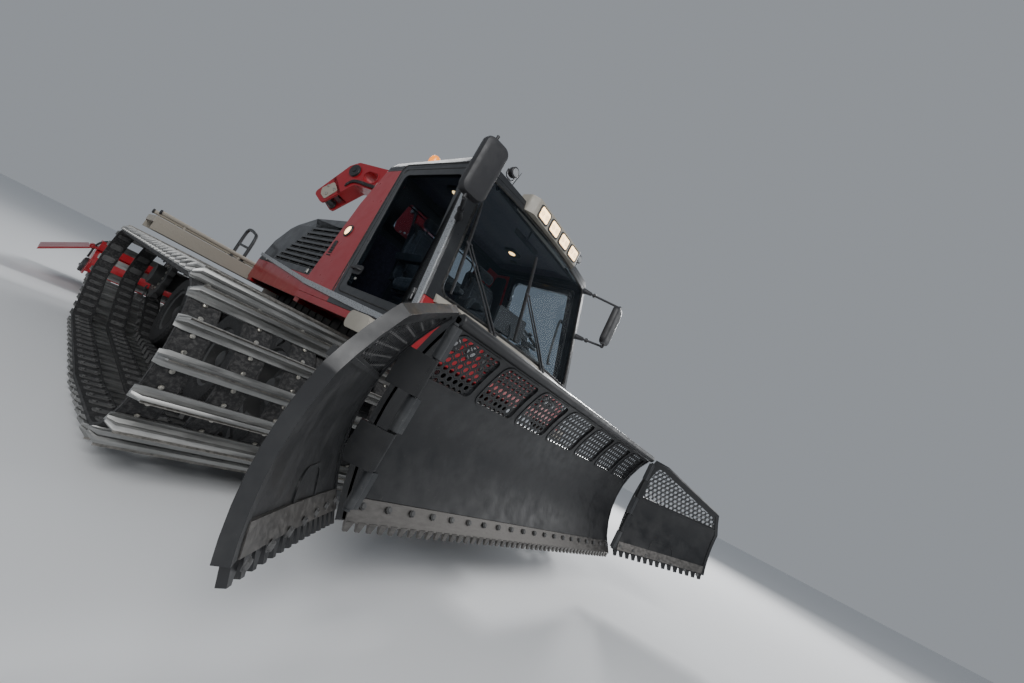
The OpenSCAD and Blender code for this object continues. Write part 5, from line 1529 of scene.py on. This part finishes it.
def ceiling():
    s, rows = Shape(), []
    xs = [-870, -840, -809, -760, -714, -600, -400, -200, 0, 200, 400, 600, 714, 760, 809, 840, 870]
    for i in range(17):
        top, low = [], []
        for x in xs:
            y0 = screenAt(x, cab["roofCut"]) + cabin["ceilingFront"]
            y = y0 + (-175 - y0) * i / 16
            sag = 3 if i % 4 == 0 else 8  # sewn across in four panels
            top.append((x, y, ceilingAt(x, y)))
            low.append((x, y, ceilingAt(x, y) - sag - 5))
        rows.append(top + low[::-1])
    s.loft(rows, 0)
    for k in range(cabin["dashes"]):  # glowing dashes along the screen's head, painted sunlight through a slotted sun visor, not lamps
        x = -540 + 1080 * k / (cabin["dashes"] - 1)
        y = screenAt(x, cab["roofCut"]) + cabin["ceilingFront"] + 16
        z = ceilingAt(x, y) - 12
        s.box(x - 26, x + 26, y - 5, y + 5, z - 8, z + 1, 1)
    y = screenAt(500, cab["roofCut"]) + 96
    s.tube([(-700, y, 2668), (700, y, 2668)], 22, 20, 2)  # rolled sun blind between its end caps
    for side in (-1, 1):
        s.lathe(rect(0, 30, -9, 9), (side * 705, y, 2668), (1, 0, 0), 24, 3)
        s.prism(roundRect(side * 520 - 90, side * 520 + 90, -720, -560, 24), 2, 2772, 2800, 3)
        s.lathe([(0, -6), (44, -6), (44, 2), (0, 3)], (side * 520, -640, 2772), (0, 0, -1), 28, 1)
    # inside mirror
    s.prism(rounded([(-190, 2600), (190, 2600), (200, 2650), (-200, 2650)], 14), 1, -1330, -1310, 3)
    s.tube([(0, -1320, 2650), (0, -1318, 2745)], 9, 12, 3)
    wall = rounded([(-880, 1300), (880, 1300), (860, 2180), (-860, 2180)], 70)
    s.prism(wall, 1, -72, -60, 3)
    for x in (-580, 0, 580):
        pad = roundRect(x - 250, x + 250, 1360, 2110, 60)
        s.loft([[(x + (a - x) * g, yy, 1735 + (b - 1735) * g) for a, b in pad] for g,
                yy in ((1, -71), (1, -78), (0.97, -86), (0.9, -90))], 0)
    s.prism(rounded([(-960, -1560), (960, -1560), (1010, -180), (-1010, -180)], 60), 2, cab["floor"] + 65,
            cab["floor"] + 72, 2)
    for k in range(26):
        s.box(-900, 900, -1500 + 50 * k, -1490 + 50 * k, cab["floor"] + 71, cab["floor"] + 76, 2)
    for side in (-1, 1):  # trim panels inside the rear quarters
        panel = rounded([(-600, 1330), (-345, 2620), (-160, 2620), (-92, 2240), (-92, 1330)],
                        [60, 50, 50, 40, 60])
        trim = [[(side * (halfAt(z) - d), y, z) for y, z in panel] for d in (50, 62)]
        s.loft(trim, 3)
    s.make("cabLining", ["liner", "lit", "seal", "dash"], "machine", "seat_fabric", bevel=2)


makeSeats()
dashFittings()
ceiling()
print("cab furnished")

# looks of the CAD nodes that stay
nodeLooks = {
    "chassis_tub": "steel", "engine_block": "cast", "axle_arms": "steel", "wheels_left": "tyre",
    "wheels_right": "tyre", "sprocket_left": "cast", "sprocket_right": "cast", "track_left": "belt",
    "track_right": "belt", "cab_floor": "red", "cab_frame": "black", "cab_roof": "black",
    "red_quarters": "red",
    "windscreen": "screenGlass", "rear_glass": "doorGlass", "side_trims": "silver", "seats": "fabric",
    "dashboard": "dash", "roof_lamps": "lampCase", "mirrors": "plastic", "wipers": "plastic",
    "door_left": "black", "door_right": "black", "door_glass_left": "doorGlass",
    "door_glass_right": "doorGlass",
    "engine_hood": "black", "lower_panels": "red", "rear_platform": "platform", "winch_frame": "steel",
    "winch_boom": "red", "lift_frame": "steel", "lift_barrels": "steel", "lift_rods": "chrome",
    "blade_carrier": "steel", "angle_barrel_left": "steel", "angle_rod_left": "chrome",
    "angle_barrel_right": "steel", "angle_rod_right": "chrome", "blade": "blade", "wing_left": "blade",
    "wing_right": "blade", "tiller_frame": "steel", "tiller_barrels": "steel", "tiller_rods": "chrome",
    "tiller_housing": "red", "tiller_reel": "tine", "tiller_comb": "comb", "side_finisher_left": "red",
    "side_finisher_right": "red"}

# hood, winch, platform, hydraulic lines and tiller
hood = {"base": 1400, "top": 2190, "half": 985, "long": 1760, "slots": 9, "slotPitch": 62, "slotHigh": 30,
        "inset": 26}
winch = {"mastY": 600, "rest": 18, "half": 110, "cheek": 26, "hole": (1080, 3120, 95)}
deck = {"half": 1990, "y0": 1780, "y1": 2420, "top": 1260, "studPitch": 62, "pipe": 24, "railX": 1105,
        "lampX": 1830}
tiller = {"half": 2100, "y": 3480, "z": 345, "cover": 256, "fingers": 22}


# a plate with holes; at(a, b, side) places a point of either side
def plateWith(shape, outline, holes, at, tag=0):
    work = filledSheet(outline, holes, lambda a, b: (a, b, 0))
    return thickSheet(shape, work, lambda p, side: at(p.x, p.y, side), tag)


def circle(a, b, r, n=32):
    return [(a + r * math.cos(2 * pi * k / n), b + r * math.sin(2 * pi * k / n)) for k in range(n)]


def hoodHalf(z):
    if z <= 1960:
        return hood["half"] - (z - hood["base"]) * 45 / 560
    return 940 - (z - 1960) * 45 / 140


def hoodFittings():
    s = Shape()
    for side in (-1, 1):
        back = [(140, 1440), (1400, 1440), (1340, 1640), (1120, 1880), (960, 2010), (140, 2010)]
        plateWith(s, back, (), lambda y, z, k: (side * (hoodHalf(z) - 30 - hood["inset"] - 6 * k), y, z), 0)
        for i in range(hood["slots"]):
            z0 = hood["base"] + 70 + i * hood["slotPitch"]
            ends = (154, hood["long"] - 464 - 60 * i)
            x0 = hoodHalf(z0 + 15)
            section = [(-30, 27), (-27, 31), (-1, 8), (-4, 4)]
            s.loft([[(side * (x0 + dx), y, z0 + dz) for dx, dz in section] for y in ends], 1)
            for y in range(300, int(ends[1]), 290):
                s.box(*sorted((side * (x0 - 26), side * (x0 - 5))), y - 4, y + 4, z0 - 2,
                      z0 + hood["slotHigh"] + 2, 1)
        for y in (250, 1480):  # over-centre latches
            x0 = hoodHalf(1430)
            s.prism(roundRect(y - 42, y + 42, 1408, 1462, 14), 0, side * (x0 - 3), side * (x0 + 5), 0)
            s.loft([[(side * (x0 + d), y + w, z) for w, d in ((-18, 4), (18, 4), (14, 15), (-14, 15))]
                    for z in (1416, 1440, 1456)], 2)
        for y in (120, 700, 1290):  # rubber feet of the hood on its lower panels
            s.lathe([(0, 1392), (22, 1392), (26, 1400), (22, 1408), (0, 1408)],
                    (side * (hood["half"] - 30), y, 0), (0, 0, 1), 20, 3)
    for k in range(9):  # vents in the sloping tail
        z = 1740 + 26 * k
        y = 1700 - (z - 1690) * 204 / 210
        s.loft([[(x, y - 6, z), (x, y + 9, z - 3), (x, y + 13, z + 4), (x, y - 2, z + 14)]
                for x in (-560, 0, 560)], 0)
    s.lathe([(0, -8), (62, -8), (66, 4), (66, 26), (56, 36), (0, 38)], (520, 420, hood["top"]), (0, 0, 1), 32,
            0)
    s.make("hoodFittings", ["plastic", "black", "zinc", "seal"], "machine", "black_plastic", bevel=1.5)


def makeBoom():
    s = Shape()
    turn = Matrix.Translation((0, winch["mastY"], 0)) @ Matrix.Rotation(rad(winch["rest"]), 4, "Z")
    body = rounded([(-200, 2428), (210, 2428), (330, 2930), (1280, 2950), (1470, 2745), (1720, 2951),
                    (1560, 3210), (1420, 3300),
                    (200, 3300), (-200, 3040)], [0, 0, 120, 90, 0, 0, 60, 90, 160, 120])
    w, (hy, hz, hr) = winch["half"], winch["hole"]
    ovalHole = [(y + (45 if y > hy else -45), z) for y, z in circle(hy, hz, hr - 12, 40)]
    plateWith(s, body, [ovalHole], lambda y, z, k: (-w + 2 * w * k, y, z), 0)
    head = rounded([(1440, 2778), (1660, 2540), (1900, 2660), (1690, 3000)], [0, 60, 60, 0])
    for side in (-1, 1):
        s.prism(head, 0, side * (w - winch["cheek"]), side * w, 0)
        rim = [(y + (45 if y > hy else -45), z) for y, z in circle(hy, hz, hr + 6, 40)]
        plateWith(s, rim, [ovalHole], lambda y, z, k: (side * (w - 2 + 9 * k), y, z), 0)
        doubler = rounded([(-140, 2470), (180, 2470), (330, 2960), (520, 3010), (520, 3060), (180, 3120),
                           (-140, 2960)], 50)
        s.prism(doubler, 0, side * (w - 1), side * (w + 8), 0)
        plate = rounded([(1500, 2790), (1640, 2610), (1760, 2668), (1800, 2760), (1640, 2900)], 34)
        s.prism(plate, 0, side * (w - 1), side * (w + 9), 1)
        s.lathe([(0, 0), (86, 0), (92, 8), (80, 14), (80, 22), (92, 28), (86, 34), (30, 34), (30, 42),
                 (0, 42)],
                (side * (w - 2), 1400, 3150), (side, 0, 0), 40, 2)
        for y, z in ((1560, 2790), (1650, 2690), (1700, 2820)):
            s.lathe([(0, 0), (20, 0), (20, 14), (16, 18), (0, 18)], (side * (w + 7), y, z), (side, 0, 0), 6,
                    3)
    for y, z, r in ((1680, 2640, 56), (1800, 2720, 46), (1640, 2830, 50)):  # rollers that lead the rope out
        s.lathe([(0, -78), (r + 8, -78), (r + 8, -68), (r, -62), (r - 8, 0), (r, 62), (r + 8, 68),
                 (r + 8, 78), (0, 78)],
                (0, y, z), (1, 0, 0), 32, 2)
        s.lathe(rect(0, 16, -104, 104), (0, y, z), (1, 0, 0), 16, 3)
    for x, z in ((-132, 40), (-132, 74), (-132, 108)):  # hydraulic lines along the boom's side
        s.tube(smoothPath([(x, -60, 2520), (x, 40, 2760 + z), (x, 260, 2950 + z), (x, 620, 2960 + z / 2),
                           (x, 920, 2960 + z / 3),
                           (x + 8, 1290, 2972 + z / 3), (x + 14, 1420, 2870 + z / 2)], 36), 12, 10, 4)
    for y, z in ((80, 2840), (420, 3030), (860, 2992)):
        s.prism(roundRect(y - 20, y + 20, z - 60, z + 60, 8, 2), 0, -w - 36, -w, 3)
    s.turned(turn)
    s.make("winchBoomArm", ["red", "platform", "plastic", "zinc", "hose"], "boom", "red_paint",
           stands=("winch_boom",), bevel=5)
    spots = [(turn @ Vector((side * (w + 8), y, 2500)), turn.to_3x3() @ Vector((0, 1, 0)),
              turn.to_3x3() @ Vector((side, 0, 0)))
             for side in (-1, 1) for y in (-110, -40, 30, 100)]
    repeat("boomBolts", boltHead(14), spots, "zinc", "boom")
    m = Shape()
    m.lathe([(100, 2390), (186, 2390), (186, 2412), (176, 2419), (100, 2419)], (0, winch["mastY"], 0),
            (0, 0, 1), 64, 0)
    m.lathe([(171, 1841), (232, 1841), (232, 1866), (171, 1874)], (0, winch["mastY"], 0), (0, 0, 1), 64, 0)
    for k in range(6):
        a = rad(60 * k + 30)
        c, d = math.cos(a), math.sin(a)
        m.add([(c * r - d * t, winch["mastY"] + d * r + c * t, z) for t in (-6, 6) for r,
               z in ((168, 1842), (226, 1842), (168, 2000))],
              [(0, 1, 2), (5, 4, 3), (0, 3, 4, 1), (1, 4, 5, 2), (2, 5, 3, 0)], 0)
    m.make("mastRings", ["steel"], "machine", "dark_steel", bevel=2)
    ring = [((209 * math.cos(rad(a)), winch["mastY"] + 209 * math.sin(rad(a)), 1866), (1, 0, 0), (0, 0, 1))
            for a in range(0, 360, 30)]
    repeat("mastBolts", boltHead(13), ring, "zinc", "machine")


def makeDeck():
    s = Shape()
    dressed("rear_platform", "platform", 5)
    for y in (deck["y0"] + 34, deck["y1"] - 40):  # two long pipes along the platform's edges
        s.tube([(-deck["half"] + 20, y, deck["top"] + 52), (deck["half"] - 20, y, deck["top"] + 52)],
               deck["pipe"], 20, 0)
        for side in (-1, 1):
            s.lathe([(0, 0), (28, 0), (28, 14), (22, 18), (0, 18)],
                    (side * (deck["half"] - 22), y, deck["top"] + 52), (side, 0, 0), 24, 1)
        for k in range(7):
            x = -1740 + 580 * k
            s.prism(rounded([(y - 26, deck["top"] - 2), (y + 26, deck["top"] - 2), (y + 14, deck["top"] + 44),
                             (y - 14, deck["top"] + 44)], 4, 2),
                    0, x - 10, x + 10, 0)
    for side in (-1, 1):
        railX = side * deck["railX"]
        bends = [(1850, 1258), (1850, 1520), (1880, 1620), (1980, 1662), (2240, 1700), (2330, 1680),
                 (2360, 1600), (2360, 1258)]
        s.tube(smoothPath([(railX, y, z) for y, z in bends], 42), 20, 16, 2)
        s.tube([(railX, 1852, 1450), (railX, 2358, 1480)], 16, 14, 2)
        for y in (1850, 2360):
            s.lathe([(0, -1), (48, -1), (48, 9), (24, 12), (0, 12)], (railX, y, deck["top"]), (0, 0, 1), 24,
                    2)
        x0 = side * deck["lampX"]  # rear lamp cluster
        s.prism(roundRect(x0 - 120, x0 + 120, 1194, 1256, 12), 1, deck["y1"] - 2, deck["y1"] + 22, 1)
        for dx, tag in ((-72, 3), (0, 4), (72, 5)):
            s.lathe([(0, 20), (27, 20), (27, 25), (18, 29), (0, 30)], (x0 + dx, deck["y1"], 1225), (0, 1, 0),
                    24, tag)
        s.prism(roundRect(-1830, -1560, 1082, 1200, 46, 7), 0, side * 1042, side * 1310, 6)  # step box
        s.prism(roundRect(-1800, -1590, 1198, 1207, 3, 2), 0, side * 1070, side * 1290, 1)
        for k in range(6):
            s.box(*sorted((side * 1080, side * 1280)), -1785 + 34 * k, -1773 + 34 * k, 1206, 1212, 1)
        for k in range(4):  # webs under the platform's outer ends
            x = side * (880 + 330 * k)
            s.box(x - 5, x + 5, deck["y0"] + 6, deck["y1"] - 6, 1126, 1192, 0)
        guard = [(-1560, 985), (1700, 985), (1700, 1185), (-1560, 1150)]
        s.prism(guard, 0, side * 582, side * 590, 1)
        for k in range(17):
            s.box(*sorted((side * 588, side * 600)), -1500 + 195 * k, -1488 + 195 * k, 990, 1146, 1)
    for y in (deck["y0"] + 3, deck["y1"] - 9):  # folded edges of the platform's sheet
        s.prism(roundRect(y - 3, y + 3, 1108, 1194, 2, 1), 0, -deck["half"] + 6, deck["half"] - 6, 0)
    s.make("deckFittings", ["platform", "plastic", "steel", "redGlow", "amber", "lens", "lampCase"],
           "machine", "platform_paint", bevel=2)
    stud = Shape().loft([[(x * g, y * g, z) for x, y in ((-17, 0), (0, -5), (17, 0), (0, 5))] for z,
                         g in ((-0.5, 1), (4, 0.7))])
    spots, p = [], deck["studPitch"]
    for i in range(int(2 * (deck["half"] - 60) / p)):
        for j in range(8):
            at = (-deck["half"] + 70 + i * p, deck["y0"] + 92 + j * p, deck["top"])
            spots.append((at, (1, 1, 0) if (i + j) % 2 else (1, -1, 0), (0, 0, 1)))
    repeat("deckStuds", stud, spots, "platform", "machine", angle=20)


def linesAndTub():
    s = Shape()
    for side in (-1, 1):  # pipes from the front bulkhead and from the tail
        for k in range(3):
            x = side * (60 + 34 * k)
            s.tube(smoothPath([(x, -1756, 800), (x, -1800, 812), (x, -1812, 850), (x, -1806, 930),
                               (x + side * 6, -1772, 960)], 16), 11, 10, 0)
            s.lathe([(0, -8), (19, -8), (19, 14), (14, 20), (0, 20)], (x, -1760, 800), (0, -1, 0), 6, 1)
            x = side * (300 + 40 * k)
            s.lathe([(0, -4), (17, -4), (17, 30), (13, 34), (13, 52), (0, 52)], (x, 2430, 850), (0, 1, 0), 18,
                    1)
            s.lathe([(13, 20), (21, 22), (21, 34), (13, 36)], (x, 2430, 850), (0, 1, 0), 18, 2)
    s.prism(roundRect(-150, 150, 770, 830, 12), 1, -1772, -1758, 2)
    for side in (-1, 1):
        s.prism(roundRect(side * 340 - 70, side * 340 + 70, 815, 885, 10), 1, 2429, 2438, 2)
    for y in (-900, 200, 1300):  # covers in the belly
        s.prism(roundRect(-300, 300, y - 260, y + 260, 40), 2, 332, 342, 2)
    s.make("tubFittings", ["hose", "zinc", "steel"], "machine", "dark_steel", bevel=1.5)
    under = [((x, y + dy, 332), (1, 0, 0), (0, 0, -1)) for y in (-900, 200, 1300)
             for x in (-270, -90, 90, 270) for dy in (-232, 232)]
    repeat("bellyBolts", boltHead(11), under, "zinc", "machine")
    f = Shape()
    for side in (-1, 1):  # pipes clipped to the lift arms
        for k in range(2):
            x = side * (396 + 22 * k)
            f.tube(smoothPath([(x, -1640, 468), (x, -1860, 484), (x, -2020, 500), (x, -2180, 512)], 14), 8,
                   10, 0)
        for y, z in ((-1700, 462), (-1980, 490)):
            f.box(*sorted((side * 382, side * 432)), y - 12, y + 12, z - 8, z + 22, 1)
    f.make("liftPipes", ["chrome", "steel"], "lift", "dark_steel", bevel=1)


def tillerFittings():
    s, half, top = Shape(), tiller["half"], tiller["z"] + 246 + 125
    for k in range(13):  # stiffeners between the cover and its beam
        x = -1920 + 320 * k
        for sign in (-1, 1):
            foot = [(tiller["y"] + sign * tiller["cover"] * math.cos(rad(a)),
                     tiller["z"] + (tiller["cover"] - 1) * math.sin(rad(a)))
                    for a in (22, 36, 50, 62)]
            s.prism(foot + [(tiller["y"] + sign * 108, top - 8)], 0, x - 5, x + 5, 0)
    for y in (tiller["y"] - 60, tiller["y"] - 20):
        s.tube([(-half + 200, y, top + 14), (half - 200, y, top + 14)], 11, 12, 1)
    for k in range(9):
        x = -1720 + 430 * k
        s.box(x - 12, x + 12, tiller["y"] - 80, tiller["y"], top - 2, top + 30, 2)
    for side in (-1, 1):
        s.lathe([(0, 0), (96, 0), (96, 26), (84, 36), (50, 40), (0, 40)],
                (side * (half - 1), tiller["y"], tiller["z"]), (side, 0, 0), 36, 2)
        s.tube(smoothPath([(side * (half - 230), tiller["y"] - 60, top + 14),
                           (side * (half - 80), tiller["y"] - 70, top + 30),
                           (side * (half + 20), tiller["y"] - 90, top - 60),
                           (side * (half + 26), tiller["y"] - 40, tiller["z"] + 110)], 20), 11, 12, 1)
    s.make("tillerFittings", ["red", "hose", "steel"], "tiller", "red_paint", bevel=1.5)
    ends = [((side * (half + 25), tiller["y"] + 80 * math.cos(rad(a)), tiller["z"] + 80 * math.sin(rad(a))),
             (0, 0, 1), (side, 0, 0))
            for side in (-1, 1) for a in range(0, 360, 45)]
    repeat("tillerBolts", boltHead(11), ends, "zinc", "tiller")
    c = Shape()
    step = (2 * half - 200) / (tiller["fingers"] - 1)
    for i in range(tiller["fingers"] - 1):  # raised ribs along each finger of the comb
        x = -half + 100 + (i + 0.5) * step
        for dx in (-46, 0, 46):
            line = [(3760, 415), (4000, 359), (4250, 301), (4450, 270), (4640, 240)]
            rib = [(y, z - 4) for y, z in line] + [(y, z + 15 if 0 < j < 4 else z + 1) for j,
                                                   (y, z) in list(enumerate(line))[::-1]]
            c.prism(rib, 0, x + dx - 7, x + dx + 7)
    c.box(-half + 30, half - 30, 3738, 3790, 418, 432)
    c.make("combRibs", ["comb"], "tiller", "comb_plastic", bevel=2)
    clampBolts = [((-1980 + 220 * k, 3764, 432), (1, 0, 0), (0, 0, 1)) for k in range(19)]
    repeat("combBolts", boltHead(11), clampBolts, "zinc", "tiller")
    for node in ("tiller_reel", "tiller_comb"):
        dressed(node, nodeLooks[node], 2)


for node in ("lift_rods", "angle_rod_left", "angle_rod_right", "tiller_rods"):
    dressed(node, "chrome", 1.5)
hoodFittings()
makeBoom()
makeDeck()
linesAndTub()
tillerFittings()
print("rear, winch and tiller dressed")

for nodeName, lookName in nodeLooks.items():
    paintNode(nodeName, lookName)
print("frame nodes painted")
